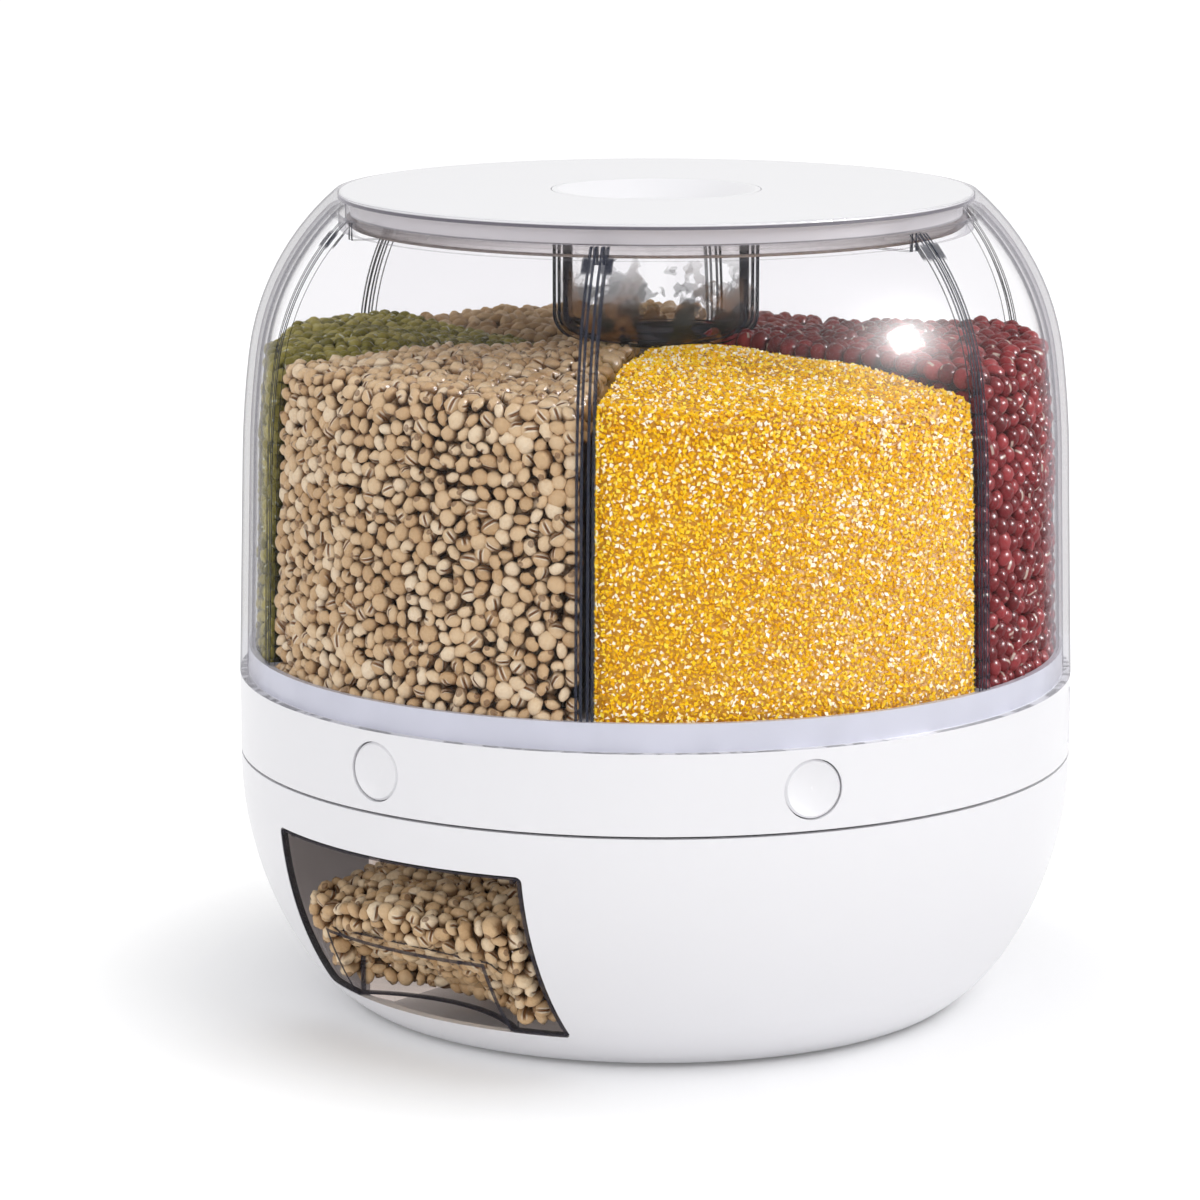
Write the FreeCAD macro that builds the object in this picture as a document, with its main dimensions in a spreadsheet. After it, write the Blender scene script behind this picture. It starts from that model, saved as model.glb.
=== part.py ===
import FreeCAD, Part
import math
import os
import re
import Sketcher

# Rotating grain dispenser. Millimetres, +Z up, origin on the table under the middle of the base.
# Every piece is drawn with +X pointing out of the object, then turned so that the tray faces -Y.

COMPARTMENTS = 6
STEP_ANGLE = 360 / COMPARTMENTS
HALF_STEP = STEP_ANGLE / 2
FRONT_TURN = -90
BALLS = 12
FEET = 6
DECK_SCREWS = COMPARTMENTS - 1

SIZES = {
    # Base bowl, whose side is two tangent bends
    "body_radius": 140.0,
    "bowl_wall": 2.5,
    "bowl_rim_height": 84.0,
    "belly_height": 82.4,
    "belly_bend": 118.2,
    "belly_angle": 33.5,
    "heel_bend": 54.5,
    "foot_height": 1.5,
    "foot_radius": 7.0,
    "foot_inset": 58.0,
    # Tray window in the bowl
    "window_half": 52.0,
    "window_low": 12.5,
    "window_high": 70.0,
    "window_corner": 2.0,
    # Base deck and its screws
    "deck_thickness": 3.0,
    "deck_gap": 0.4,
    "deck_hub_radius": 14.0,
    "deck_hub_depth": 9.0,
    "funnel_depth": 5.0,
    "boss_inset": 50.0,
    "boss_radius": 4.5,
    "screw_radius": 1.5,
    "screw_fit": 0.06,
    "screw_play": 0.2,
    "screw_head_radius": 3.3,
    "screw_head_height": 2.0,
    "screw_length": 14.0,
    # Ball race between base and rotor
    "race_radius": 65.0,
    "race_width": 13.0,
    "race_rib": 1.3,
    "race_depth": 1.35,
    "race_play": 0.15,
    "ball_radius": 4.0,
    "cage_thickness": 2.4,
    "cage_width": 12.4,
    "cage_play": 0.3,
    # Spindle
    "spindle_radius": 4.0,
    "spindle_fit": 0.06,
    "hex_head_radius": 7.5,
    "hex_head_height": 5.5,
    "bush_radius": 7.0,
    "bush_flange": 10.0,
    "bush_flange_height": 1.0,
    "bush_play": 0.15,
    "washer_thickness": 1.6,
    "nut_height": 6.5,
    "spindle_tip": 1.5,
    "plate_hub_radius": 12.0,
    "plate_hub_height": 10.1,
    # White ring with the buttons
    "seam_gap": 0.9,
    "ring_height": 26.1,
    "ring_wall": 2.5,
    "ring_flange": 6.5,
    "ring_flange_thickness": 1.5,
    "lug_half": 10.0,
    "lug_height": 2.5,
    "lug_root": 0.5,
    "plate_gap": 0.2,
    "plate_thickness": 2.0,
    # Buttons and their sleeves
    "button_rise": 13.1,
    "button_radius": 9.4,
    "button_gap": 0.35,
    "button_inset": 0.4,
    "button_length": 9.6,
    "button_round": 0.8,
    "button_hollow": 1.6,
    "button_travel": 13.0,
    "sleeve_wall": 1.25,
    "sleeve_length": 12.0,
    "sleeve_setback": 0.5,
    # Gates, outlets and chutes
    "outlet_inset": 38.0,
    "outlet_length": 11.0,
    "outlet_width": 34.0,
    "tube_wall": 2.0,
    "gate_thickness": 3.0,
    "gate_gap": 0.3,
    "gate_edge": 3.5,
    "gate_front_edge": 2.5,
    "gate_tongue": 12.0,
    "gate_back": 10.0,
    "chute_gap": 1.0,
    "drop_margin": 1.0,
    "rail_gap": 0.4,
    "rail_width": 2.5,
    "rail_back": 24.0,
    "spring_radius": 4.0,
    "spring_wire": 0.8,
    "seat_back": 36.0,
    "spring_gap": 0.1,
    "seat_thickness": 4.0,
    "seat_half": 5.0,
    # Grain deck, the floor of the bins
    "floor_fall": 7.5,
    "floor_step": 1.5,
    "floor_thickness": 2.0,
    "floor_hub": 18.0,
    "deck_rim_gap": 0.6,
    "deck_rim_wall": 2.1,
    "valley_margin": 1.0,
    "rib_width": 4.4,
    "rotor_screw_inset": 22.0,
    "rotor_boss_height": 5.1,
    "rotor_screw_seat": 4.0,
    # Clear shell, whose side is a tapered stretch and two tangent bends
    "shell_height": 160.3,
    "shell_wall": 2.4,
    "dome_rise": 86.8,
    "taper_angle": 1.47,
    "shoulder_bend": 328.3,
    "shoulder_angle": 7.28,
    "rim_wall": 1.05,
    "collar_depth": 11.7,
    "collar_wall": 2.2,
    "collar_web": 4.1,
    "web_drop": 0.7,
    # Lid
    "lid_inset": 34.8,
    "lid_gap": 0.4,
    "lid_proud": 0.2,
    "lid_thickness": 2.0,
    "lid_round": 0.9,
    "ledge_width": 2.4,
    "skirt_gap": 1.7,
    "skirt_wall": 2.0,
    "skirt_depth": 7.5,
    "seal_gap": 0.25,
    "seal_height": 3.8,
    "seal_lip_high": 1.5,
    "seal_lip_low": 2.7,
    "dish_radius": 34.7,
    "dish_gap": 0.3,
    "dish_depth": 5.5,
    "dish_slope": 9.0,
    "dish_lip": 1.6,
    "dish_wall": 1.6,
    # Cup under the lid
    "cup_radius": 34.4,
    "cup_wall": 1.6,
    "cup_depth": 49.5,
    "cup_corner": 8.0,
    "cup_flange": 2.7,
    "cup_gap": 0.1,
    "cup_ring_wall": 1.8,
    "cup_ring_depth": 3.5,
    # Bins and centre post
    "bin_gap": 1.3,
    "bin_wall": 1.8,
    "bin_half_gap": 0.6,
    "bin_seat": 0.1,
    "bin_rim_drop": 6.9,
    "divider_drop": 1.1,
    "collar_clearance": 0.6,
    "notch_gap": 1.6,
    "notch_drop": 2.0,
    "notch_bend": 10.0,
    "post_radius": 16.5,
    "post_wall": 1.8,
    "post_gap": 0.4,
    "post_drop": 6.0,
    # Tray and its bay
    "tray_gap": 0.5,
    "tray_inset": 3.5,
    "tray_wall": 2.0,
    "tray_back": 24.0,
    "tray_rim_drop": 1.5,
    "tray_lift": 1.4,
    "runner_play": 0.3,
    "runner_width": 9.3,
    "front_wall": 2.2,
    "front_seat": 0.1,
    "grip_half": 33.0,
    "grip_high": 37.0,
    "grip_low": 16.6,
    "grip_inset": 15.0,
    "grip_slant": 23.5,
    "grip_bend": 58.0,
    "grip_wall": 2.0,
    "bay_side_gap": 0.8,
    "bay_wall": 1.8,
    "bay_inset": 52.0,
    "bay_back_gap": 1.5,
    "bay_top_gap": 0.2,
    # How far the cutting shapes reach past the body
    "cutter_reach": 168.0,
}

FORMULAS = {
    # Levels, from the table up
    "floor_top": "foot_height + bowl_wall",
    "ring_base": "bowl_rim_height + seam_gap",
    "race_span": "2 * (ball_radius + race_play - race_depth)",
    "race_roof": "ring_base - race_rib",
    "deck_top": "race_roof - race_span",
    "deck_base": "deck_top - deck_thickness",
    "ball_height": "deck_top + race_span / 2",
    "plate_top": "ring_base + plate_thickness",
    "plate_hub_top": "ring_base + plate_hub_height",
    "washer_base": "plate_hub_top + bush_flange_height + bush_play",
    "nut_base": "washer_base + washer_thickness",
    "nut_top": "nut_base + nut_height",
    "spindle_head": "deck_base - deck_hub_depth",
    "button_height": "ring_base + button_rise",
    "gate_base": "button_height - gate_thickness / 2",
    "gate_top": "button_height + gate_thickness / 2",
    "chute_base": "deck_top + chute_gap",
    "chute_top": "gate_base - gate_gap",
    "tube_base": "gate_top + gate_gap",
    "shell_base": "ring_base + ring_height",
    "slope_top": "shell_base + floor_fall",
    "deck_rim_top": "slope_top + floor_step",
    "bin_base": "deck_rim_top + bin_seat",
    "shell_top": "shell_base + shell_height",
    "lid_top": "shell_top + lid_proud",
    "lid_base": "lid_top - lid_thickness",
    "skirt_base": "lid_top - skirt_depth",
    "collar_base": "shell_top - collar_depth",
    "divider_top": "collar_base - divider_drop",
    "bin_top": "shell_top - bin_rim_drop",
    "cup_base": "lid_top - cup_depth",
    "cup_top": "lid_base - cup_gap",
    "notch_base": "cup_base - notch_drop",
    "post_top": "cup_base - post_drop",
    "post_base": "slope_top + bin_seat",
    # Radii and reaches
    "belly_centre": "body_radius - belly_bend",
    "heel_centre": "belly_centre + (belly_bend - heel_bend) * cos(belly_angle)",
    "heel_height": "belly_height - (belly_bend - heel_bend) * sin(belly_angle)",
    "taper_height": "shell_height - dome_rise",
    "taper_top": "shell_base + taper_height",
    "shoulder_centre": "body_radius - taper_height * tan(taper_angle) - shoulder_bend * cos(taper_angle)",
    "shoulder_height": "taper_top - shoulder_bend * sin(taper_angle)",
    "crown_foot": "shoulder_centre + shoulder_bend * cos(shoulder_angle)",
    "crown_foot_height": "shoulder_height + shoulder_bend * sin(shoulder_angle)",
    "crown_run": "crown_foot - lid_bore - rim_wall",
    "crown_rise": "shell_top - crown_foot_height",
    "crown_bend": "(crown_run ^ 2 + crown_rise ^ 2) / "
                  "(2 * (crown_run * cos(shoulder_angle) - crown_rise * sin(shoulder_angle)))",
    "crown_centre": "crown_foot - crown_bend * cos(shoulder_angle)",
    "crown_height": "crown_foot_height - crown_bend * sin(shoulder_angle)",
    "race_bend": "ball_radius + race_play",
    "race_half": "sqrt(race_bend ^ 2 - (race_span / 2) ^ 2)",
    "spindle_bore": "spindle_radius + spindle_fit",
    "bush_bore": "bush_radius + spindle_fit",
    "foot_circle": "body_radius - foot_inset",
    "boss_circle": "body_radius - boss_inset",
    "rotor_screw_circle": "body_radius - rotor_screw_inset",
    "outlet_circle": "body_radius - outlet_inset",
    "gate_inner": "outlet_circle - gate_back",
    "rail_inner": "outlet_circle - rail_back",
    "spring_seat": "outlet_circle - seat_back",
    "ring_inner": "body_radius - ring_wall",
    "ring_flange_inner": "ring_inner - ring_flange",
    "plate_radius": "ring_inner - plate_gap",
    "deck_rim_outer": "body_radius - shell_wall - deck_rim_gap",
    "deck_rim_inner": "deck_rim_outer - deck_rim_wall",
    "valley_inner": "outlet_circle - outlet_length / 2 - valley_margin",
    "valley_outer": "outlet_circle + outlet_length / 2 + valley_margin",
    "button_bore": "button_radius + button_gap",
    "button_face": "body_radius - button_inset",
    "button_back": "button_face - button_length",
    "button_mouth": "button_radius - button_round",
    "button_hollow_bend": "(button_mouth ^ 2 + button_hollow ^ 2) / (2 * button_hollow)",
    "sleeve_outer": "ring_inner - sleeve_setback",
    "gate_half": "outlet_width / 2 + gate_edge",
    "gate_slot": "outlet_circle + button_travel",
    "gate_outer": "gate_slot + outlet_length / 2 + gate_front_edge",
    "rail_half": "gate_half + rail_gap",
    "lid_radius": "body_radius - lid_inset",
    "lid_bore": "lid_radius + lid_gap",
    "collar_bore": "lid_bore - ledge_width",
    "collar_outer": "collar_bore + collar_wall",
    "skirt_radius": "collar_bore - skirt_gap",
    "seal_radius": "collar_bore - seal_gap",
    "dish_hole": "dish_radius + dish_gap",
    "cup_flange_radius": "cup_radius + cup_flange",
    "cup_ring_radius": "cup_flange_radius + cup_gap",
    "notch_radius": "cup_radius + notch_gap",
    "bin_depth": "shell_wall + bin_gap",
    "post_flat": "post_radius * cos({0})".format(HALF_STEP),
    "bin_inner": "post_flat + post_gap",
    # Tray
    "grip_top_reach": "body_radius - grip_inset",
    "grip_low_reach": "grip_top_reach - grip_slant",
    "bay_front": "body_radius - bay_inset",
    "tray_half": "window_half - tray_inset",
    "runner_top": "window_low + tray_lift",
    "tray_base": "runner_top + runner_play",
    "front_low": "window_low + tray_gap",
    "front_high": "window_high - tray_gap",
    "front_half": "window_half - tray_gap",
    "tray_top": "front_high - tray_rim_drop",
    "bay_half": "tray_half + bay_side_gap",
    "bay_back": "tray_back - bay_back_gap",
}

PLANE_TURNS = {
    "XY_Plane": FreeCAD.Rotation(),
    "XZ_Plane": FreeCAD.Rotation(FreeCAD.Vector(1, 0, 0), 90),
    "YZ_Plane": FreeCAD.Rotation(1, 1, 1, 1),
}
LIFT_AXES = {"XY_Plane": "z", "XZ_Plane": "y", "YZ_Plane": "x"}
UP = FreeCAD.Vector(0, 0, 1)

doc = FreeCAD.newDocument("grain_dispenser")
sheet = doc.addObject("Spreadsheet::Sheet", "sizes")
for row, (word, size) in enumerate(SIZES.items(), start=1):
    sheet.set("A{0}".format(row), word)
    sheet.set("B{0}".format(row), str(size))
    sheet.setAlias("B{0}".format(row), word)
doc.recompute()

pieces = {}


def formula(text):
    """Write the names in a formula as references to the sheet."""
    def reference(match):
        word = match.group()
        if word in SIZES:
            return "sizes." + word
        if word in FORMULAS:
            return "(" + formula(FORMULAS[word]) + ")"
        return word
    return re.sub(r"\b[a-z]\w*\b", reference, str(text))


def number(text):
    """The value of a formula in millimetres or degrees."""
    result = sheet.evalExpression(formula(text))
    return float(getattr(result, "Value", result))


def bind(item, field, text):
    item.setExpression(field, formula(text))


def turned(degrees):
    return FreeCAD.Rotation(UP, degrees)


def sketch_on(owner, name, plane, lift="0", turn=0):
    """An empty sketch on a body's origin plane, or free in the document when it has no owner."""
    if owner is None:
        sketch = doc.addObject("Sketcher::SketchObject", name)
        sketch.Placement = FreeCAD.Placement(FreeCAD.Vector(), PLANE_TURNS[plane])
        bind(sketch, "Placement.Base." + LIFT_AXES[plane], lift)
        return sketch
    sketch = owner.newObject("Sketcher::SketchObject", name)
    support = [part for part in owner.Origin.OriginFeatures if part.Role == plane][0]
    sketch.AttachmentSupport = [(support, "")]
    sketch.MapMode = "FlatFace"
    sketch.AttachmentOffset = FreeCAD.Placement(FreeCAD.Vector(), turned(turn))
    bind(sketch, "AttachmentOffset.Base.z", lift)
    return sketch


def pin(sketch, edge, spot, x, y):
    """Hold one point of a sketch at formula coordinates."""
    for kind, text in (("DistanceX", x), ("DistanceY", y)):
        rule = sketch.addConstraint(Sketcher.Constraint(kind, -1, 1, edge, spot, number(text)))
        bind(sketch, "Constraints[{0}]".format(rule), text)


def hold_radius(sketch, edge, text):
    rule = sketch.addConstraint(Sketcher.Constraint("Radius", edge, number(text)))
    bind(sketch, "Constraints[{0}]".format(rule), text)


def outline(owner, name, plane, corners, lift="0", turn=0):
    """A closed sketch through corners whose coordinates are formulas.

    A corner is (x, y), or (x, y, radius, side) where the edge after it is an arc with its
    centre to the left (side 1) or to the right (side -1) of the direction of travel.
    """
    sketch = sketch_on(owner, name, plane, lift, turn)
    spots = [FreeCAD.Vector(number(corner[0]), number(corner[1]), 0) for corner in corners]
    edges = []
    ends = []
    for index, corner in enumerate(corners):
        start = spots[index]
        stop = spots[(index + 1) % len(spots)]
        if len(corner) == 2:
            edges.append(Part.LineSegment(start, stop))
            ends.append((1, 2))
            continue
        radius = number(corner[2])
        half = (stop - start) * 0.5
        aside = FreeCAD.Vector(-half.y, half.x, 0).normalize() * corner[3]
        centre = start + half + aside * math.sqrt(radius ** 2 - half.Length ** 2)
        first, last = (start, stop) if corner[3] > 0 else (stop, start)
        begin = math.atan2(first.y - centre.y, first.x - centre.x)
        finish = math.atan2(last.y - centre.y, last.x - centre.x)
        edges.append(Part.ArcOfCircle(Part.Circle(centre, UP, radius), begin, finish))
        ends.append((1, 2) if corner[3] > 0 else (2, 1))
    sketch.addGeometry(edges)
    count = len(corners)
    sketch.addConstraint([
        Sketcher.Constraint("Coincident", index, ends[index][1], (index + 1) % count, ends[(index + 1) % count][0])
        for index in range(count)])
    for index, corner in enumerate(corners):
        pin(sketch, index, ends[index][0], corner[0], corner[1])
        if len(corner) > 2:
            hold_radius(sketch, index, corner[2])
    return sketch


def circles(owner, name, plane, x, y, radii, lift="0", turn=0):
    """A sketch of circles round one centre."""
    sketch = sketch_on(owner, name, plane, lift, turn)
    for index, radius in enumerate(radii):
        centre = FreeCAD.Vector(number(x), number(y), 0)
        sketch.addGeometry(Part.Circle(centre, UP, number(radius)))
        pin(sketch, index, 3, x, y)
        hold_radius(sketch, index, radius)
    return sketch


def rectangle(x_low, x_high, y_low, y_high):
    return [(x_low, y_low), (x_high, y_low), (x_high, y_high), (x_low, y_high)]


def rounded_rectangle(x_low, x_high, y_low, y_high, bend):
    """Corners of a rectangle whose four corners are arcs."""
    return [
        ("{0} + {1}".format(x_low, bend), y_low),
        ("{0} - {1}".format(x_high, bend), y_low, bend, 1),
        (x_high, "{0} + {1}".format(y_low, bend)),
        (x_high, "{0} - {1}".format(y_high, bend), bend, 1),
        ("{0} - {1}".format(x_high, bend), y_high),
        ("{0} + {1}".format(x_low, bend), y_high, bend, 1),
        (x_low, "{0} - {1}".format(y_high, bend)),
        (x_low, "{0} + {1}".format(y_low, bend), bend, 1),
    ]


def hexagon(radius, start_angle):
    """Corners of a hexagon round the axis."""
    angles = [start_angle + 60 * step for step in range(6)]
    return [("{0} * cos({1})".format(radius, angle), "{0} * sin({1})".format(radius, angle)) for angle in angles]


def backwards(path):
    """The same open path travelled the other way."""
    spots = [corner[:2] for corner in path]
    result = []
    for index in range(len(path) - 1, -1, -1):
        bend = path[index - 1][2:] if index > 0 else ()
        result.append(spots[index] + ((bend[0], -bend[1]) if bend else ()))
    return result


def new_body(name, turn=None):
    body = doc.addObject("PartDesign::Body", name)
    body.Label = name
    if turn is not None:
        body.Placement = FreeCAD.Placement(FreeCAD.Vector(), turned(turn))
    pieces[name] = body
    return body


def revolve(body, sketch, axis="V_Axis"):
    feature = body.newObject("PartDesign::Revolution", sketch.Name + "_turn")
    feature.Profile = sketch
    feature.ReferenceAxis = (sketch, [axis])
    feature.Angle = 360
    doc.recompute()
    return feature


def pad(body, sketch, length, kind="PartDesign::Pad", backward=False):
    feature = body.newObject(kind, sketch.Name + "_" + kind.split("::")[1].lower())
    feature.Profile = sketch
    feature.Reversed = backward
    bind(feature, "Length", length)
    doc.recompute()
    return feature


def pocket(body, sketch, length, along_normal=False):
    """Cut the body and make sure that something was cut."""
    before = body.Shape.Volume
    feature = pad(body, sketch, length, "PartDesign::Pocket", along_normal)
    if not body.Shape.Volume < before - 1e-6:
        raise RuntimeError("nothing was cut by " + sketch.Name)
    return feature


def around(body, features, count, angle=360):
    """Repeat features round the body's own vertical axis."""
    feature = body.newObject("PartDesign::PolarPattern", features[0].Name + "_ring")
    feature.Originals = features
    axis = [part for part in body.Origin.OriginFeatures if part.Role == "Z_Axis"][0]
    feature.Axis = (axis, [""])
    feature.Angle = angle
    feature.Occurrences = count
    body.Tip = feature
    doc.recompute()
    return feature


def turned_solid(name, corners):
    """A free solid of revolution round the vertical axis."""
    solid = doc.addObject("Part::Revolution", name)
    solid.Source = outline(None, name + "_section", "XZ_Plane", corners)
    solid.Axis = UP
    solid.Angle = 360
    solid.Solid = True
    return solid


def raised_solid(name, corners, base, top):
    """A free solid that rises from a base level to a top level."""
    solid = doc.addObject("Part::Extrusion", name)
    solid.Base = outline(None, name + "_plan", "XY_Plane", corners, base)
    solid.DirMode = "Custom"
    solid.Dir = UP
    bind(solid, "LengthFwd", "{0} - ({1})".format(top, base))
    solid.Solid = True
    return solid


def forward_solid(name, corners, near, far):
    """A free solid drawn from the front that reaches from a near to a far distance from the axis."""
    solid = doc.addObject("Part::Extrusion", name)
    solid.Base = outline(None, name + "_view", "YZ_Plane", corners, near)
    solid.DirMode = "Custom"
    solid.Dir = FreeCAD.Vector(1, 0, 0)
    bind(solid, "LengthFwd", "{0} - ({1})".format(far, near))
    solid.Solid = True
    return solid


def crosswise_solid(name, corners, half):
    """A free solid drawn from the side that reaches the same distance to both sides."""
    solid = doc.addObject("Part::Extrusion", name)
    solid.Base = outline(None, name + "_side", "XZ_Plane", corners)
    solid.DirMode = "Custom"
    solid.Dir = FreeCAD.Vector(0, 1, 0)
    bind(solid, "LengthFwd", half)
    bind(solid, "LengthRev", half)
    solid.Solid = True
    return solid


def common(name, shapes):
    item = doc.addObject("Part::MultiCommon", name)
    item.Shapes = shapes
    return item


def fused(name, shapes):
    item = doc.addObject("Part::MultiFuse", name)
    item.Shapes = shapes
    return item


def difference(name, base, tool):
    item = doc.addObject("Part::Cut", name)
    item.Base = base
    item.Tool = tool
    return item


def piece(item, name, turn=FRONT_TURN):
    """Name a free solid as a piece of the object and turn it into place."""
    item.Label = name
    item.Placement = FreeCAD.Placement(FreeCAD.Vector(), turned(turn))
    pieces[name] = item
    return item


def bowl_side(depth, low, high):
    """Section of the bowl's side at a depth under its outer face, going up."""
    heel = "(heel_bend - {0})".format(depth)
    belly = "(belly_bend - {0})".format(depth)
    return [
        ("heel_centre + sqrt({0} ^ 2 - ({1} - heel_height) ^ 2)".format(heel, low), low, heel, 1),
        ("belly_centre + {0} * cos(belly_angle)".format(belly),
         "belly_height - {0} * sin(belly_angle)".format(belly), belly, 1),
        ("belly_centre + sqrt({0} ^ 2 - ({1} - belly_height) ^ 2)".format(belly, high), high),
    ]


def dome_side(depth, low, crown_radius, crown_level):
    """Section of the dome's side at a depth under its outer face, going up to a point on the crown."""
    shoulder = "(shoulder_bend - {0})".format(depth)
    crown = "(crown_bend - {0})".format(depth)
    return [
        ("body_radius - ({0} - shell_base) * tan(taper_angle) - {1} / cos(taper_angle)".format(low, depth), low),
        ("shoulder_centre + {0} * cos(taper_angle)".format(shoulder),
         "shoulder_height + {0} * sin(taper_angle)".format(shoulder), shoulder, 1),
        ("shoulder_centre + {0} * cos(shoulder_angle)".format(shoulder),
         "shoulder_height + {0} * sin(shoulder_angle)".format(shoulder), crown, 1),
        (crown_radius, crown_level),
    ]


def dome_radius(depth, level):
    return "crown_centre + sqrt((crown_bend - {0}) ^ 2 - ({1} - crown_height) ^ 2)".format(depth, level)


def dome_level(depth, radius):
    return "crown_height + sqrt((crown_bend - {0}) ^ 2 - ({1} - crown_centre) ^ 2)".format(depth, radius)


def screw(name, x, y, seat, upward):
    """A pan head screw with its head on one side of a seat and its thread on the other."""
    head = doc.addObject("Part::Cylinder", name + "_head")
    bind(head, "Radius", "screw_head_radius")
    bind(head, "Height", "screw_head_height")
    bind(head, "Placement.Base.z", "{0} - screw_head_height".format(seat) if upward else seat)
    thread = doc.addObject("Part::Cylinder", name + "_thread")
    bind(thread, "Radius", "screw_radius")
    bind(thread, "Height", "screw_length")
    bind(thread, "Placement.Base.z", seat if upward else "{0} - screw_length".format(seat))
    for item in (head, thread):
        bind(item, "Placement.Base.x", x)
        bind(item, "Placement.Base.y", y)
    return fused(name, [head, thread])


def on_circle(radius, angle):
    return "{0} * cos({1})".format(radius, angle), "{0} * sin({1})".format(radius, angle)


def screw_ring(name, radius, angles, seat, upward):
    """Screws on a circle, as one group."""
    screws = []
    for index, angle in enumerate(angles, start=1):
        x, y = on_circle(radius, angle)
        screws.append(screw("{0}_{1}".format(name, index), x, y, seat, upward))
    group = doc.addObject("Part::Compound", name)
    group.Links = screws
    piece(group, name)


# Lid

def lid_cover():
    """White disc with a rounded rim, a skirt and the ring that holds the cup."""
    body = new_body("lid_cover")
    section = outline(body, "lid_cover_section", "XZ_Plane", [
        ("dish_hole", "lid_base"),
        ("cup_ring_radius", "lid_base"),
        ("cup_ring_radius", "lid_base - cup_ring_depth"),
        ("cup_ring_radius + cup_ring_wall", "lid_base - cup_ring_depth"),
        ("cup_ring_radius + cup_ring_wall", "lid_base"),
        ("skirt_radius - skirt_wall", "lid_base"),
        ("skirt_radius - skirt_wall", "skirt_base"),
        ("skirt_radius", "skirt_base"),
        ("skirt_radius", "lid_base"),
        ("lid_radius", "lid_base"),
        ("lid_radius", "lid_top - lid_round", "lid_round", 1),
        ("lid_radius - lid_round", "lid_top"),
        ("dish_hole", "lid_top"),
    ])
    revolve(body, section)


def lid_seal():
    """Silicone ring with a lip, under the skirt."""
    body = new_body("lid_seal")
    section = outline(body, "lid_seal_section", "XZ_Plane", [
        ("skirt_radius - skirt_wall", "skirt_base"),
        ("skirt_radius - skirt_wall", "skirt_base - seal_height"),
        ("skirt_radius", "skirt_base - seal_height"),
        ("seal_radius", "skirt_base - seal_lip_low"),
        ("seal_radius", "skirt_base - seal_lip_high"),
        ("skirt_radius", "skirt_base"),
    ])
    revolve(body, section)


def lid_dish():
    """Insert in the middle of the lid, hollowed to a flat floor."""
    body = new_body("lid_dish")
    section = outline(body, "lid_dish_section", "XZ_Plane", [
        ("0", "lid_top - dish_depth - dish_wall"),
        ("dish_radius - dish_lip - dish_slope", "lid_top - dish_depth - dish_wall"),
        ("cup_radius - cup_wall - cup_gap", "lid_top - dish_wall"),
        ("dish_radius", "lid_top - dish_wall"),
        ("dish_radius", "lid_top"),
        ("dish_radius - dish_lip", "lid_top"),
        ("dish_radius - dish_lip - dish_slope", "lid_top - dish_depth"),
        ("0", "lid_top - dish_depth"),
    ])
    revolve(body, section)


def center_cup():
    """Clear cup that hangs from the lid by its flange."""
    body = new_body("center_cup")
    section = outline(body, "center_cup_section", "XZ_Plane", [
        ("0", "cup_base"),
        ("cup_radius - cup_corner", "cup_base", "cup_corner", 1),
        ("cup_radius", "cup_base + cup_corner"),
        ("cup_radius", "cup_top - cup_wall"),
        ("cup_flange_radius", "cup_top - cup_wall"),
        ("cup_flange_radius", "cup_top"),
        ("cup_radius - cup_wall", "cup_top"),
        ("cup_radius - cup_wall", "cup_base + cup_corner", "cup_corner - cup_wall", -1),
        ("cup_radius - cup_corner", "cup_base + cup_wall"),
        ("0", "cup_base + cup_wall"),
    ])
    revolve(body, section)


# Rotor

def outer_shell():
    """Clear dome with a collar and a ledge that the lid drops into."""
    body = new_body("outer_shell")
    ledge = "lid_base - cup_gap"
    web = "(collar_outer + collar_web)"
    inner = dome_side("shell_wall", "shell_base", web, dome_level("shell_wall", web))
    section = outline(
        body, "outer_shell_section", "XZ_Plane",
        dome_side("0", "shell_base", dome_radius("0", "shell_top"), "shell_top") + [
            ("lid_bore", "shell_top"),
            ("lid_bore", ledge),
            ("collar_bore", ledge),
            ("collar_bore", "collar_base"),
            ("collar_outer", "collar_base"),
            ("collar_outer", dome_level("shell_wall", web) + " - web_drop"),
        ] + backwards(inner))
    revolve(body, section)


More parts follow.
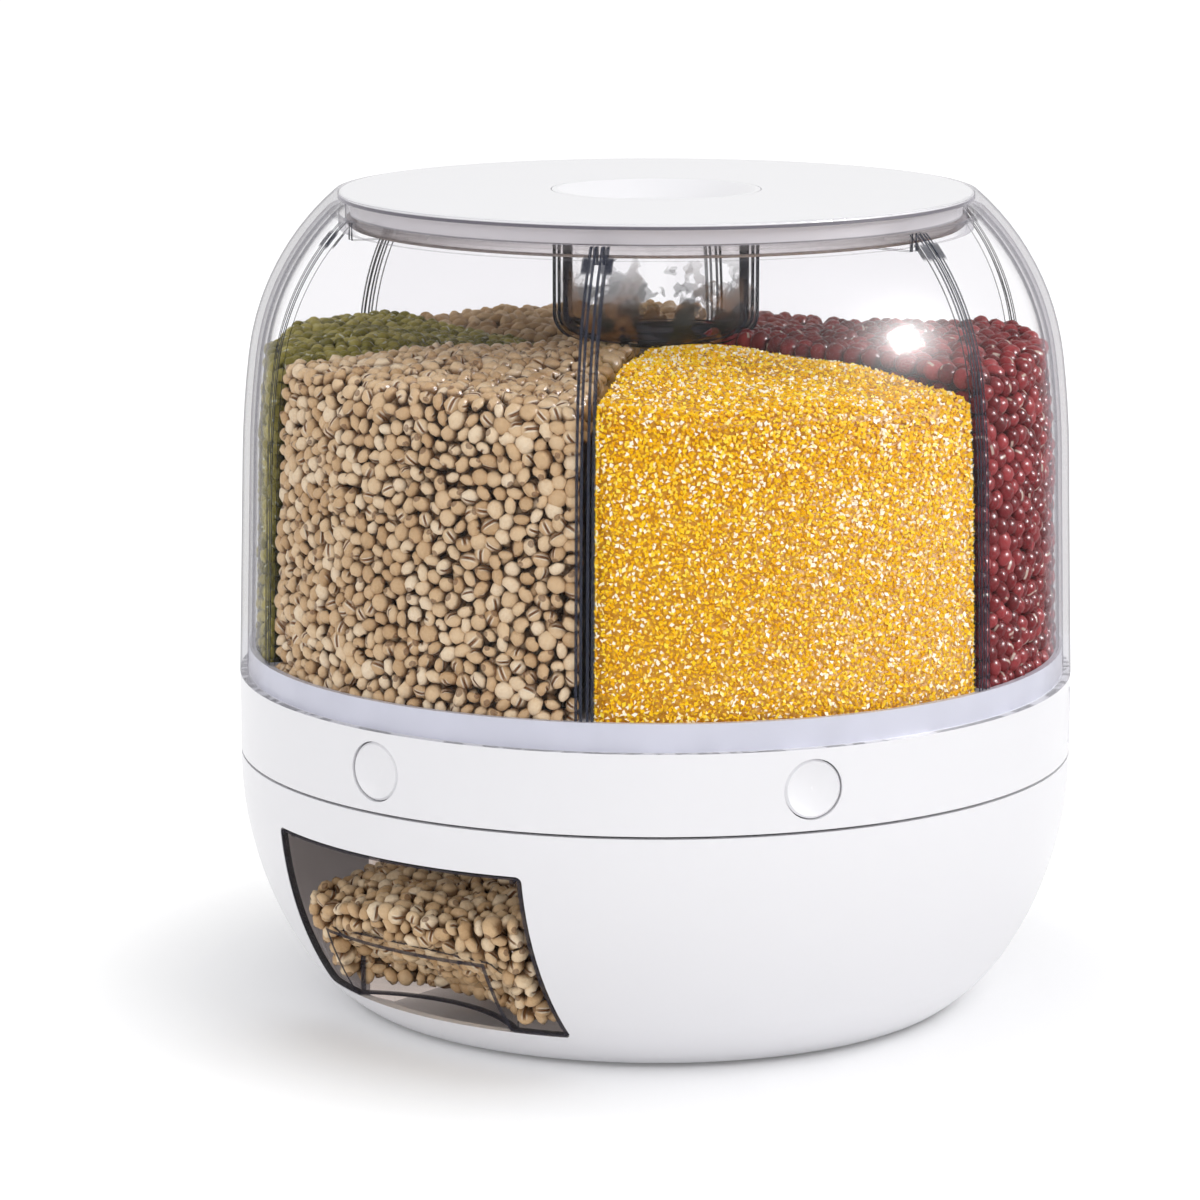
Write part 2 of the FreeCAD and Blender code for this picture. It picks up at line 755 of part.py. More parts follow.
def grain_bin(index):
    """Clear wedge bin, open at both ends and notched round the cup."""
    name = "grain_bin_{0}".format(index)
    slope = "tan({0})".format(HALF_STEP)
    sides = []
    for inset in ("0", "bin_wall"):
        offset = "(bin_half_gap + {0}) / cos({1})".format(inset, HALF_STEP)
        near = "(bin_inner + {0})".format(inset)
        sides.append([
            (near, "-({0} * {1} - {2})".format(near, slope, offset)),
            ("cutter_reach", "-({0} * {1} - {2})".format("cutter_reach", slope, offset)),
            ("cutter_reach", "{0} * {1} - {2}".format("cutter_reach", slope, offset)),
            (near, "{0} * {1} - {2}".format(near, slope, offset)),
        ])
    hull_core = dome_side("bin_depth", "bin_base", dome_radius("bin_depth", "bin_top"), "bin_top")
    room_depth = "(bin_depth + bin_wall)"
    room_top = "(bin_top + bin_wall)"
    room_core = dome_side(room_depth, "(bin_base - bin_wall)", dome_radius(room_depth, room_top), room_top)
    hull = common(name + "_hull", [
        turned_solid(name + "_hull_core", [("0", "bin_base")] + hull_core + [("0", "bin_top")]),
        raised_solid(name + "_hull_wedge", sides[0], "bin_base", "bin_top")])
    room = common(name + "_room", [
        turned_solid(name + "_room_core", [("0", "(bin_base - bin_wall)")] + room_core + [("0", room_top)]),
        raised_solid(name + "_room_wedge", sides[1], "(bin_base - bin_wall)", room_top)])
    lid_space = turned_solid(name + "_lid_space", [
        ("0", "notch_base"),
        ("notch_radius - notch_bend", "notch_base", "notch_bend", 1),
        ("notch_radius", "notch_base + notch_bend"),
        ("notch_radius", "divider_top"),
        ("collar_outer + collar_clearance", "divider_top"),
        ("collar_outer + collar_clearance", "shell_top"),
        ("0", "shell_top"),
    ])
    wall = difference(name + "_wall", hull, room)
    piece(difference(name, wall, lid_space), name, FRONT_TURN + STEP_ANGLE * (index - 1))


def center_post():
    """Clear six-sided column, closed at the top."""
    body = new_body("center_post", FRONT_TURN)
    plan = outline(body, "center_post_plan", "XY_Plane", hexagon("post_radius", HALF_STEP), "post_base")
    pad(body, plan, "post_top - post_base")
    hollow = outline(body, "center_post_hollow", "XY_Plane", hexagon("(post_radius - post_wall)", HALF_STEP),
                     "post_base")
    pocket(body, hollow, "post_top - post_base - post_wall", along_normal=True)


def outlet(edge, width_edge):
    """Rectangle round an outlet, widened by an edge."""
    return rectangle(
        "outlet_circle - outlet_length / 2 - {0}".format(edge),
        "outlet_circle + outlet_length / 2 + {0}".format(edge),
        "-(outlet_width / 2 + {0})".format(width_edge),
        "outlet_width / 2 + {0}".format(width_edge))


def grain_deck():
    """Floor of the bins: two slopes into a valley, six outlets with tubes, ribs under the dividers."""
    body = new_body("grain_deck", FRONT_TURN)
    section = outline(body, "grain_deck_section", "XZ_Plane", [
        ("0", "slope_top - floor_thickness"),
        ("floor_hub", "slope_top - floor_thickness"),
        ("valley_inner", "shell_base - floor_thickness"),
        ("valley_outer", "shell_base - floor_thickness"),
        ("deck_rim_inner", "slope_top - floor_thickness"),
        ("deck_rim_inner", "shell_base"),
        ("deck_rim_outer", "shell_base"),
        ("deck_rim_outer", "deck_rim_top"),
        ("deck_rim_inner", "deck_rim_top"),
        ("deck_rim_inner", "slope_top"),
        ("valley_outer", "shell_base"),
        ("valley_inner", "shell_base"),
        ("floor_hub", "slope_top"),
        ("0", "slope_top"),
    ])
    revolve(body, section)
    rib = outline(body, "grain_deck_rib", "XY_Plane", rectangle(
        "post_radius + post_gap", "deck_rim_inner + deck_rim_wall / 2", "-rib_width / 2", "rib_width / 2"),
        "shell_base", HALF_STEP)
    boss_x, boss_y = on_circle("rotor_screw_circle", HALF_STEP)
    boss = circles(body, "grain_deck_boss", "XY_Plane", boss_x, boss_y, ["boss_radius"],
                   "plate_top + rotor_boss_height")
    rib_pad = pad(body, rib, "deck_rim_top - shell_base")
    boss_pad = pad(body, boss, "shell_base + floor_thickness / 2 - plate_top - rotor_boss_height")
    around(body, [rib_pad, boss_pad], COMPARTMENTS)
    tube = outline(body, "grain_deck_tube", "XY_Plane", outlet("tube_wall", "tube_wall"), "tube_base")
    around(body, [pad(body, tube, "shell_base - floor_thickness / 2 - tube_base")], COMPARTMENTS)
    hole = outline(body, "grain_deck_outlet", "XY_Plane", outlet("0", "0"), "tube_base")
    pilot = circles(body, "grain_deck_pilot", "XY_Plane", boss_x, boss_y, ["screw_radius + screw_fit"],
                    "plate_top + rotor_boss_height")
    hole_cut = pocket(body, hole, "slope_top - tube_base", along_normal=True)
    pilot_cut = pocket(body, pilot, "screw_length", along_normal=True)
    around(body, [hole_cut, pilot_cut], COMPARTMENTS)


def chute_plate():
    """Bottom plate of the rotor: upper ball race, hub, chutes, gate rails and spring seats."""
    body = new_body("chute_plate", FRONT_TURN)
    race_inner = "race_radius - race_width / 2"
    race_outer = "race_radius + race_width / 2"
    section = outline(body, "chute_plate_section", "XZ_Plane", [
        ("bush_bore", "ring_base"),
        (race_inner, "ring_base"),
        (race_inner, "race_roof"),
        ("race_radius - race_half", "race_roof", "race_bend", -1),
        ("race_radius + race_half", "race_roof"),
        (race_outer, "race_roof"),
        (race_outer, "ring_base"),
        ("plate_radius", "ring_base"),
        ("plate_radius", "plate_top"),
        ("plate_hub_radius", "plate_top"),
        ("plate_hub_radius", "plate_hub_top"),
        ("bush_bore", "plate_hub_top"),
    ])
    revolve(body, section)
    chute = outline(body, "chute_plate_chute", "XY_Plane", outlet("tube_wall", "tube_wall"), "chute_base")
    raised = [pad(body, chute, "chute_top - chute_base")]
    for side, sign in (("left", ""), ("right", "-")):
        rail = outline(body, "chute_plate_rail_" + side, "XY_Plane", rectangle(
            "rail_inner", "gate_outer", sign + "rail_half", sign + "(rail_half + rail_width)"), "plate_top")
        raised.append(pad(body, rail, "gate_top - plate_top"))
    seat = outline(body, "chute_plate_seat", "XY_Plane", rectangle(
        "spring_seat - seat_thickness", "spring_seat", "-seat_half", "seat_half"), "plate_top")
    raised.append(pad(body, seat, "button_height + spring_radius + spring_wire - plate_top"))
    screw_x, screw_y = on_circle("rotor_screw_circle", HALF_STEP)
    boss = circles(body, "chute_plate_boss", "XY_Plane", screw_x, screw_y, ["boss_radius"], "plate_top")
    raised.append(pad(body, boss, "rotor_boss_height"))
    around(body, raised, COMPARTMENTS)
    hole = outline(body, "chute_plate_hole", "XY_Plane", outlet("0", "0"), "chute_base")
    recess = circles(body, "chute_plate_recess", "XY_Plane", screw_x, screw_y,
                     ["screw_head_radius + screw_play"], "ring_base")
    bore = circles(body, "chute_plate_bore", "XY_Plane", screw_x, screw_y, ["screw_radius + screw_play"],
                   "ring_base")
    cuts = [
        pocket(body, hole, "chute_top - chute_base", along_normal=True),
        pocket(body, recess, "rotor_screw_seat", along_normal=True),
        pocket(body, bore, "plate_thickness + rotor_boss_height", along_normal=True),
    ]
    around(body, cuts, COMPARTMENTS)


def button_ring():
    """White ring with a flange under the grain deck, lugs on the plate and a hole per button."""
    body = new_body("button_ring", FRONT_TURN)
    section = outline(body, "button_ring_section", "XZ_Plane", [
        ("ring_inner", "ring_base"),
        ("body_radius", "ring_base"),
        ("body_radius", "shell_base"),
        ("ring_flange_inner", "shell_base"),
        ("ring_flange_inner", "shell_base - ring_flange_thickness"),
        ("ring_inner", "shell_base - ring_flange_thickness"),
    ])
    revolve(body, section)
    lug = outline(body, "button_ring_lug", "XY_Plane", rectangle(
        "ring_flange_inner", "ring_inner + lug_root", "-lug_half", "lug_half"), "plate_top", HALF_STEP)
    around(body, [pad(body, lug, "lug_height")], COMPARTMENTS)
    hole = circles(body, "button_ring_hole", "YZ_Plane", "0", "button_height", ["button_bore"],
                   "ring_flange_inner")
    around(body, [pocket(body, hole, "body_radius - ring_flange_inner + ring_wall", along_normal=True)],
           COMPARTMENTS)


def button_sleeve(index):
    """Dark liner of a button's bore."""
    body = new_body("button_sleeve_{0}".format(index), FRONT_TURN + STEP_ANGLE * (index - 1))
    plan = circles(body, "sleeve_{0}_plan".format(index), "YZ_Plane", "0", "button_height",
                   ["button_bore + sleeve_wall", "button_bore"], "sleeve_outer - sleeve_length")
    pad(body, plan, "sleeve_length")


def rotor_bush():
    """Flanged plain bearing between the plate's hub and the spindle."""
    body = new_body("rotor_bush")
    section = outline(body, "rotor_bush_section", "XZ_Plane", [
        ("spindle_bore", "ring_base"),
        ("bush_radius", "ring_base"),
        ("bush_radius", "plate_hub_top"),
        ("bush_flange", "plate_hub_top"),
        ("bush_flange", "plate_hub_top + bush_flange_height"),
        ("spindle_bore", "plate_hub_top + bush_flange_height"),
    ])
    revolve(body, section)


# Buttons

def button(index):
    """Round push button with a hollow face."""
    body = new_body("button_{0}".format(index), FRONT_TURN + STEP_ANGLE * (index - 1))
    bind(body, "Placement.Base.z", "button_height")
    section = outline(body, "button_{0}_section".format(index), "XZ_Plane", [
        ("button_back", "0"),
        ("button_face - button_hollow", "0", "button_hollow_bend", -1),
        ("button_face", "button_mouth"),
        ("button_face - button_round", "button_radius"),
        ("button_back", "button_radius"),
    ])
    revolve(body, section, "H_Axis")


def slide_gate(index):
    """Slotted slide under an outlet, with the tongue that reaches its button."""
    body = new_body("slide_gate_{0}".format(index), FRONT_TURN + STEP_ANGLE * (index - 1))
    plan = outline(body, "gate_{0}_plan".format(index), "XY_Plane", [
        ("gate_inner", "-gate_half"),
        ("gate_outer", "-gate_half"),
        ("gate_outer", "-gate_tongue / 2"),
        ("button_back", "-gate_tongue / 2"),
        ("button_back", "gate_tongue / 2"),
        ("gate_outer", "gate_tongue / 2"),
        ("gate_outer", "gate_half"),
        ("gate_inner", "gate_half"),
    ], "gate_base")
    pad(body, plan, "gate_thickness")
    slot = outline(body, "gate_{0}_slot".format(index), "XY_Plane", rectangle(
        "gate_slot - outlet_length / 2", "gate_slot + outlet_length / 2", "-outlet_width / 2",
        "outlet_width / 2"), "gate_base")
    pocket(body, slot, "gate_thickness", along_normal=True)


def return_spring(index):
    """Envelope of the spring that pushes a gate and its button out."""
    body = new_body("return_spring_{0}".format(index), FRONT_TURN + STEP_ANGLE * (index - 1))
    plan = circles(body, "spring_{0}_plan".format(index), "YZ_Plane", "0", "button_height",
                   ["spring_radius", "spring_radius - spring_wire"], "spring_seat + spring_gap")
    pad(body, plan, "gate_inner - spring_seat - 2 * spring_gap")


# Ball bearing

def ball_cage():
    body = new_body("ball_cage", FRONT_TURN)
    section = outline(body, "ball_cage_section", "XZ_Plane", rectangle(
        "race_radius - cage_width / 2", "race_radius + cage_width / 2",
        "ball_height - cage_thickness / 2", "ball_height + cage_thickness / 2"))
    revolve(body, section)
    hole = circles(body, "ball_cage_hole", "XY_Plane", "race_radius", "0", ["ball_radius + cage_play"],
                   "ball_height - cage_thickness / 2")
    around(body, [pocket(body, hole, "cage_thickness", along_normal=True)], BALLS)


def bearing_balls():
    balls = []
    for index in range(BALLS):
        ball = doc.addObject("Part::Sphere", "bearing_ball_{0}".format(index + 1))
        x, y = on_circle("race_radius", index * 360 / BALLS)
        bind(ball, "Radius", "ball_radius")
        bind(ball, "Placement.Base.x", x)
        bind(ball, "Placement.Base.y", y)
        bind(ball, "Placement.Base.z", "ball_height")
        balls.append(ball)
    group = doc.addObject("Part::Compound", "bearing_balls")
    group.Links = balls
    piece(group, "bearing_balls")


# Base

def base_bowl():
    """White bowl with screw posts and the window of the tray."""
    body = new_body("base_bowl", FRONT_TURN)
    section = outline(
        body, "base_bowl_section", "XZ_Plane",
        [("0", "foot_height")] + bowl_side("0", "foot_height", "bowl_rim_height")
        + backwards(bowl_side("bowl_wall", "floor_top", "bowl_rim_height")) + [("0", "floor_top")])
    revolve(body, section)
    post_x, post_y = on_circle("boss_circle", STEP_ANGLE)
    post = circles(body, "base_bowl_post", "XY_Plane", post_x, post_y, ["boss_radius"], "floor_top - bowl_wall / 2")
    pilot = circles(body, "base_bowl_pilot", "XY_Plane", post_x, post_y, ["screw_radius + screw_fit"], "deck_base")
    post_pad = pad(body, post, "deck_base - floor_top + bowl_wall / 2")
    pilot_cut = pocket(body, pilot, "screw_length")
    around(body, [post_pad, pilot_cut], DECK_SCREWS, 360 - 2 * STEP_ANGLE)
    window = outline(body, "base_bowl_window", "YZ_Plane", rounded_rectangle(
        "-window_half", "window_half", "window_low", "window_high", "window_corner"), "body_radius / 2")
    pocket(body, window, "body_radius", along_normal=True)


def base_deck():
    """Cover of the bowl: lower ball race, spindle hub and the slot that grain drops through."""
    body = new_body("base_deck", FRONT_TURN)
    inner_side = bowl_side("bowl_wall", "floor_top", "deck_base")[-1][0]
    section = outline(body, "base_deck_section", "XZ_Plane", [
        ("spindle_bore", "spindle_head"),
        ("deck_hub_radius", "spindle_head"),
        ("deck_hub_radius", "deck_base"),
        (inner_side + " - deck_gap", "deck_base"),
        (inner_side + " - deck_gap", "deck_top"),
        ("race_radius + race_half", "deck_top", "race_bend", -1),
        ("race_radius - race_half", "deck_top"),
        ("spindle_bore", "deck_top"),
    ])
    revolve(body, section)
    funnel = outline(body, "base_deck_funnel", "XY_Plane", outlet(
        "(drop_margin + tube_wall)", "(drop_margin + tube_wall)"), "deck_base - funnel_depth")
    pad(body, funnel, "funnel_depth + deck_thickness / 2")
    slot = outline(body, "base_deck_slot", "XY_Plane", outlet("drop_margin", "drop_margin"),
                   "deck_base - funnel_depth")
    pocket(body, slot, "funnel_depth + deck_thickness", along_normal=True)
    hole_x, hole_y = on_circle("boss_circle", STEP_ANGLE)
    hole = circles(body, "base_deck_hole", "XY_Plane", hole_x, hole_y, ["screw_radius + screw_play"], "deck_base")
    around(body, [pocket(body, hole, "deck_thickness", along_normal=True)], DECK_SCREWS, 360 - 2 * STEP_ANGLE)


def tray_bay():
    """Liner that the tray slides in, open at the front, with a runner along each side."""
    body = new_body("tray_bay", FRONT_TURN)
    outer = "(bay_half + bay_wall)"
    plan = outline(body, "tray_bay_plan", "XY_Plane", [
        ("bay_front", outer),
        ("bay_back - bay_wall", outer),
        ("bay_back - bay_wall", "-" + outer),
        ("bay_front", "-" + outer),
        ("bay_front", "-bay_half"),
        ("bay_back", "-bay_half"),
        ("bay_back", "bay_half"),
        ("bay_front", "bay_half"),
    ], "floor_top")
    pad(body, plan, "deck_base - bay_top_gap - floor_top")
    for side, sign in (("left", ""), ("right", "-")):
        runner = outline(body, "tray_bay_runner_" + side, "XY_Plane", rectangle(
            "bay_back - bay_wall / 2", "bay_front", sign + "(bay_half - runner_width)",
            sign + "(bay_half + bay_wall / 2)"), "floor_top")
        pad(body, runner, "runner_top - floor_top")


def spindle_bolt():
    """Hexagon bolt that passes up through the deck and the rotor."""
    body = new_body("spindle_bolt", FRONT_TURN)
    head = outline(body, "spindle_bolt_head", "XY_Plane", hexagon("hex_head_radius", HALF_STEP),
                   "spindle_head - hex_head_height")
    pad(body, head, "hex_head_height")
    shank = circles(body, "spindle_bolt_shank", "XY_Plane", "0", "0", ["spindle_radius"],
                    "spindle_head - hex_head_height / 2")
    pad(body, shank, "nut_top + spindle_tip - spindle_head + hex_head_height / 2")


def spindle_washer():
    body = new_body("spindle_washer")
    plan = circles(body, "spindle_washer_plan", "XY_Plane", "0", "0", ["bush_flange", "spindle_bore"], "washer_base")
    pad(body, plan, "washer_thickness")


def spindle_nut():
    body = new_body("spindle_nut", FRONT_TURN)
    plan = outline(body, "spindle_nut_plan", "XY_Plane", hexagon("hex_head_radius", HALF_STEP), "nut_base")
    pad(body, plan, "nut_height")
    bore = circles(body, "spindle_nut_bore", "XY_Plane", "0", "0", ["spindle_bore"], "nut_base")
    pocket(body, bore, "nut_height", along_normal=True)


def rubber_feet():
    feet = []
    for index in range(FEET):
        foot = doc.addObject("Part::Cylinder", "rubber_foot_{0}".format(index + 1))
        x, y = on_circle("foot_circle", (index + 0.5) * 360 / FEET)
        bind(foot, "Radius", "foot_radius")
        bind(foot, "Height", "foot_height")
        bind(foot, "Placement.Base.x", x)
        bind(foot, "Placement.Base.y", y)
        feet.append(foot)
    group = doc.addObject("Part::Compound", "rubber_feet")
    group.Links = feet
    piece(group, "rubber_feet")


# Tray

def bowl_core(name, depth):
    """Everything inside the bowl's outer face at a depth, up to its rim."""
    side = bowl_side(depth, "floor_top", "bowl_rim_height")
    return turned_solid(name, [("0", "floor_top")] + side + [("0", "bowl_rim_height")])


def grip_shape(name, wall):
    """The scooped finger grip, as a solid that reaches out past the front, grown by a wall."""
    slant = crosswise_solid(name + "_slant", [
        ("grip_low_reach - {0}".format(wall), "window_low - grip_wall"),
        ("cutter_reach", "window_low - grip_wall"),
        ("cutter_reach", "grip_high + {0}".format(wall)),
        ("grip_top_reach", "grip_high + {0}".format(wall)),
        ("grip_low_reach - {0}".format(wall), "grip_low + {0}".format(wall)),
    ], "grip_half + {0}".format(wall))
    scoop = doc.addObject("Part::Cylinder", name + "_scoop")
    bind(scoop, "Radius", "grip_bend + {0}".format(wall))
    bind(scoop, "Height", "bowl_rim_height")
    bind(scoop, "Placement.Base.x", "grip_low_reach + grip_bend")
    return common(name, [slant, scoop])


def tray_box():
    """Clear box whose front edges follow the curved front piece and its grip."""
    outside = raised_solid("tray_box_outside", rectangle(
        "tray_back", "cutter_reach", "-tray_half", "tray_half"), "tray_base", "tray_top")
    inside = raised_solid("tray_box_inside", rectangle(
        "tray_back + tray_wall", "cutter_reach", "-(tray_half - tray_wall)", "tray_half - tray_wall"),
        "(tray_base + tray_wall)", "(tray_top + tray_wall)")
    walls = difference("tray_box_walls", outside, inside)
    within = common("tray_box_within", [walls, bowl_core("tray_box_core", "(front_wall + front_seat)")])
    piece(difference("tray_box", within, grip_shape("tray_box_grip", "(grip_wall + front_seat)")), "tray_box")


def tray_front():
    """Curved front that lies flush in the bowl, with the scooped grip let into it."""
    frame = forward_solid("tray_front_frame", rounded_rectangle(
        "-front_half", "front_half", "front_low", "front_high", "(window_corner - tray_gap)"),
        "body_radius / 2", "cutter_reach")
    outer_core = bowl_core("tray_front_core", "0")
    skin = difference("tray_front_skin", outer_core, bowl_core("tray_front_hollow", "front_wall"))
    both = fused("tray_front_both", [skin, common("tray_front_grip_wall", [
        grip_shape("tray_front_grip_outer", "grip_wall"), bowl_core("tray_front_grip_core", "0")])])
    panel = common("tray_front_panel", [both, frame])
    piece(difference("tray_front", panel, grip_shape("tray_front_grip", "0")), "tray_front")


def build():
    lid_cover()
    lid_seal()
    lid_dish()
    center_cup()
    outer_shell()
    center_post()
    grain_deck()
    chute_plate()
    button_ring()
    rotor_bush()
    for index in range(1, COMPARTMENTS + 1):
        grain_bin(index)
        button_sleeve(index)
        button(index)
        slide_gate(index)
        return_spring(index)
    screw_angles = [HALF_STEP + STEP_ANGLE * index for index in range(COMPARTMENTS)]
    screw_ring("rotor_screws", "rotor_screw_circle", screw_angles, "ring_base + rotor_screw_seat", upward=True)
    ball_cage()
    bearing_balls()
    base_bowl()
    base_deck()
    tray_bay()
    screw_ring("base_screws", "boss_circle", [STEP_ANGLE * index for index in range(1, COMPARTMENTS)],
               "deck_top", upward=False)
    spindle_bolt()
    spindle_washer()
    spindle_nut()
    rubber_feet()
    tray_box()
    tray_front()


def check():
    """Stop if any object of the document failed, or a piece has no sound shape."""
    for item in doc.Objects:
        if "Invalid" in item.State or "Error" in item.State:
            raise RuntimeError("{0} failed: {1}".format(item.Name, item.State))
    for name, item in pieces.items():
        if item.Shape.isNull() or not item.Shape.isValid() or not item.Shape.Solids:
            raise RuntimeError(name + " has no sound shape")


def export():
    os.makedirs("parts", exist_ok=True)
    for name, item in pieces.items():
        item.Shape.exportStep("parts/{0}.step".format(name))


build()
doc.recompute()
check()
export()
print(len(pieces), "pieces")
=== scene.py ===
import collections
import math

import bpy
import numpy as np
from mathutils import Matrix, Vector, kdtree


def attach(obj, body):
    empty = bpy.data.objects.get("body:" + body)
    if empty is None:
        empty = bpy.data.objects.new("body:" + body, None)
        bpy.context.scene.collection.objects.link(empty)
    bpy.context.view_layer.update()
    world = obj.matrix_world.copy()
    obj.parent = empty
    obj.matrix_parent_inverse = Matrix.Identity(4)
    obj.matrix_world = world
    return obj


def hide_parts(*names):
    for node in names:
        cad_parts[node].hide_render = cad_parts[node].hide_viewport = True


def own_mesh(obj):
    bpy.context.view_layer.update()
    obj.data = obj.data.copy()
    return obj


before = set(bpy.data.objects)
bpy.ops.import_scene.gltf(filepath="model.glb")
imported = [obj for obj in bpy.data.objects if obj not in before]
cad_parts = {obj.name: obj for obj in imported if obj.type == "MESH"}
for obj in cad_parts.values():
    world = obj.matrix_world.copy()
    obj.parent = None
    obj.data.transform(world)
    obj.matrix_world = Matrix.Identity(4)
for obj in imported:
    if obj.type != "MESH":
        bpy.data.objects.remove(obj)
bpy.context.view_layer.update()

bl_info = {
    "name": "Rotating Grain Dispenser",
    "version": (1, 0, 0),
    "blender": (4, 5, 0),
    "location": "3D View > Sidebar > Dispenser",
    "description": "Finishes, grain and studio for a turntable grain dispenser",
    "category": "Object",
}

MM = 0.001
COMPARTMENTS = 6
STEP = math.tau / COMPARTMENTS
HALF_STEP = STEP / 2
SIX = range(1, COMPARTMENTS + 1)

# Centre of the arc of the dome's crown, in millimetres
CROWN_RADIUS = 51.58
CROWN_HEIGHT = 206.95

# Levels and places of what the finishes draw, in metres
DISC_UNDERSIDE = 0.2695
DISC_RIM = 0.1040
DISC_LINE = 0.2699
SKIRT_LINE = 0.2641
SEAL_LIP = 0.2605
CUP_MIDDLE = 0.2400
BIN_CLIP = 0.2590
BIN_WALL = 0.0900
BOX_RIM = 0.0670
FRONT_EDGE = 0.0506
FRONT_TOP = 0.06885
FRONT_FOOT = 0.0139
GRIP_EDGE = 0.0337
GRIP_TOP = 0.0378


def colour(name, describe, shade):
    return bpy.props.FloatVectorProperty(name=name, description=describe, default=shade, size=3, subtype="COLOR",
                                         min=0, max=1)


def place(name, describe, where):
    return bpy.props.FloatVectorProperty(name=name, description=describe, default=where, size=3, unit="LENGTH")


def angle(name, describe, turn):
    return bpy.props.FloatProperty(name=name, description=describe, default=turn, subtype="ANGLE")


def power(name, describe, watts):
    return bpy.props.FloatProperty(name=name, description=describe, default=watts, unit="POWER")


class DispenserFinishes(bpy.types.PropertyGroup):
    """Colours of the dispenser's own parts."""
    white: colour("White plastic", "Base, ring, buttons and the lid's dish", (0.83, 0.825, 0.85))
    lid: colour("Lid", "White plastic of the lid's disc", (0.79, 0.785, 0.81))
    # Painted colours at the clear plastic: dark painted shade where it turns away or bends, a pale painted reflection
    # along its surface, and the smoky tray front's edge painted dark the same way
    edge: colour("Clear plastic lines", "Lines where clear plastic turns away or bends", (0.035, 0.038, 0.055))
    veil: colour("Clear plastic edge", "Clear plastic seen nearly along its surface", (0.53, 0.515, 0.56))
    smoke: colour("Tray front edge", "Smoky plastic seen along its surface", (0.045, 0.042, 0.052))
    # Skirt and lid lines are painted shade: a greyer white for the skirt in shade behind the clear rim, and dark
    # lines for the shadow under the disc's edge
    skirt: colour("Lid skirt", "White plastic of the lid behind the clear rim", (0.66, 0.63, 0.66))
    line: colour("Lid lines", "Dark lines round the lid's edge", (0.12, 0.11, 0.14))
    # Painted dark shade on the column's edges
    post: colour("Middle column", "Edges of the faceted column", (0.20, 0.19, 0.19))
    deck: colour("Grain deck", "Lavender grey floor of the bins", (0.67, 0.68, 0.78))
    bore: colour("Button bore", "Dark purple liner round each button", (0.045, 0.012, 0.075))
    gate: colour("Gates and plates", "Natural white working parts", (0.72, 0.72, 0.73))
    bay: colour("Tray bay", "Light grey liner of the tray", (0.85, 0.76, 0.71))
    seal: colour("Lid seal", "Translucent silicone", (0.33, 0.295, 0.29))
    steel: colour("Steel", "Screws, spindle and springs", (0.56, 0.56, 0.58))
    cage: colour("Ball cage", "Natural nylon of cage and bush", (0.70, 0.67, 0.58))
    foot: colour("Rubber feet", "Grey rubber", (0.06, 0.06, 0.065))


class StudioSettings(bpy.types.PropertyGroup):
    """Camera and lamps."""
    camera: place("Camera", "Place of the lens", (0.96080, -1.17380, 0.42822))
    turn: angle("Turn", "Turn of the view from the tray's front", math.radians(39.3) + 0.0123)
    pitch: angle("Pitch", "How far the camera looks down", 0.1926)
    lens: bpy.props.FloatProperty(name="Lens", description="Focal length in millimetres", default=137.3)
    ambient: bpy.props.FloatProperty(name="Ambient", description="Strength of the white surroundings", default=0.75,
                                     min=0, subtype="FACTOR")
    key: power("Key lamp", "Power of the large soft lamp", 13.5)
    fill: power("Fill lamp", "Power of the lamp on the other side", 5)
    front: power("Front lamp", "Power of the lamp near the camera", 2.2)
    spark: power("Spark lamp", "Power of the small lamp that glints in the dome", 65)
    glint: place("Glint", "Spot of the dome that mirrors the spark lamp", (0.1274, -0.0310, 0.2360))


# Finishes

class Sock:
    """An output socket that takes part in Python arithmetic."""

    def __init__(self, finish, socket):
        self.finish = finish
        self.socket = socket

    def math(self, operation, *others):
        return self.finish.node("Math", {"operation": operation}, dict(enumerate((self,) + others)))

    def __add__(self, other):
        return self.math("ADD", other)

    def __mul__(self, other):
        return self.math("MULTIPLY", other)

    def __sub__(self, other):
        return self.math("SUBTRACT", other)

    def __rsub__(self, other):
        return self.finish.node("Math", {"operation": "SUBTRACT"}, {0: other, 1: self})

    def __pow__(self, other):
        return self.math("POWER", other)

    def __abs__(self):
        return self.math("ABSOLUTE")

    def highest(self, *others):
        """The largest of several values."""
        result = self
        for other in others:
            result = result.math("MAXIMUM", other)
        return result

    def smooth(self, low, high, start=0.0, stop=1.0):
        """Rises smoothly from start to stop between low and high."""
        return self.finish.node("MapRange", {"interpolation_type": "SMOOTHSTEP"}, {
            "Value": self, "From Min": low, "From Max": high, "To Min": start, "To Max": stop})

    def above(self, level, blur):
        """One above a level, with a soft edge."""
        return self.smooth(level - blur, level + blur)

    def below(self, level, blur):
        """One below a level, with a soft edge."""
        return self.smooth(level + blur, level - blur)

    def out(self, name):
        """Another output of the same node."""
        return Sock(self.finish, self.socket.node.outputs[name])


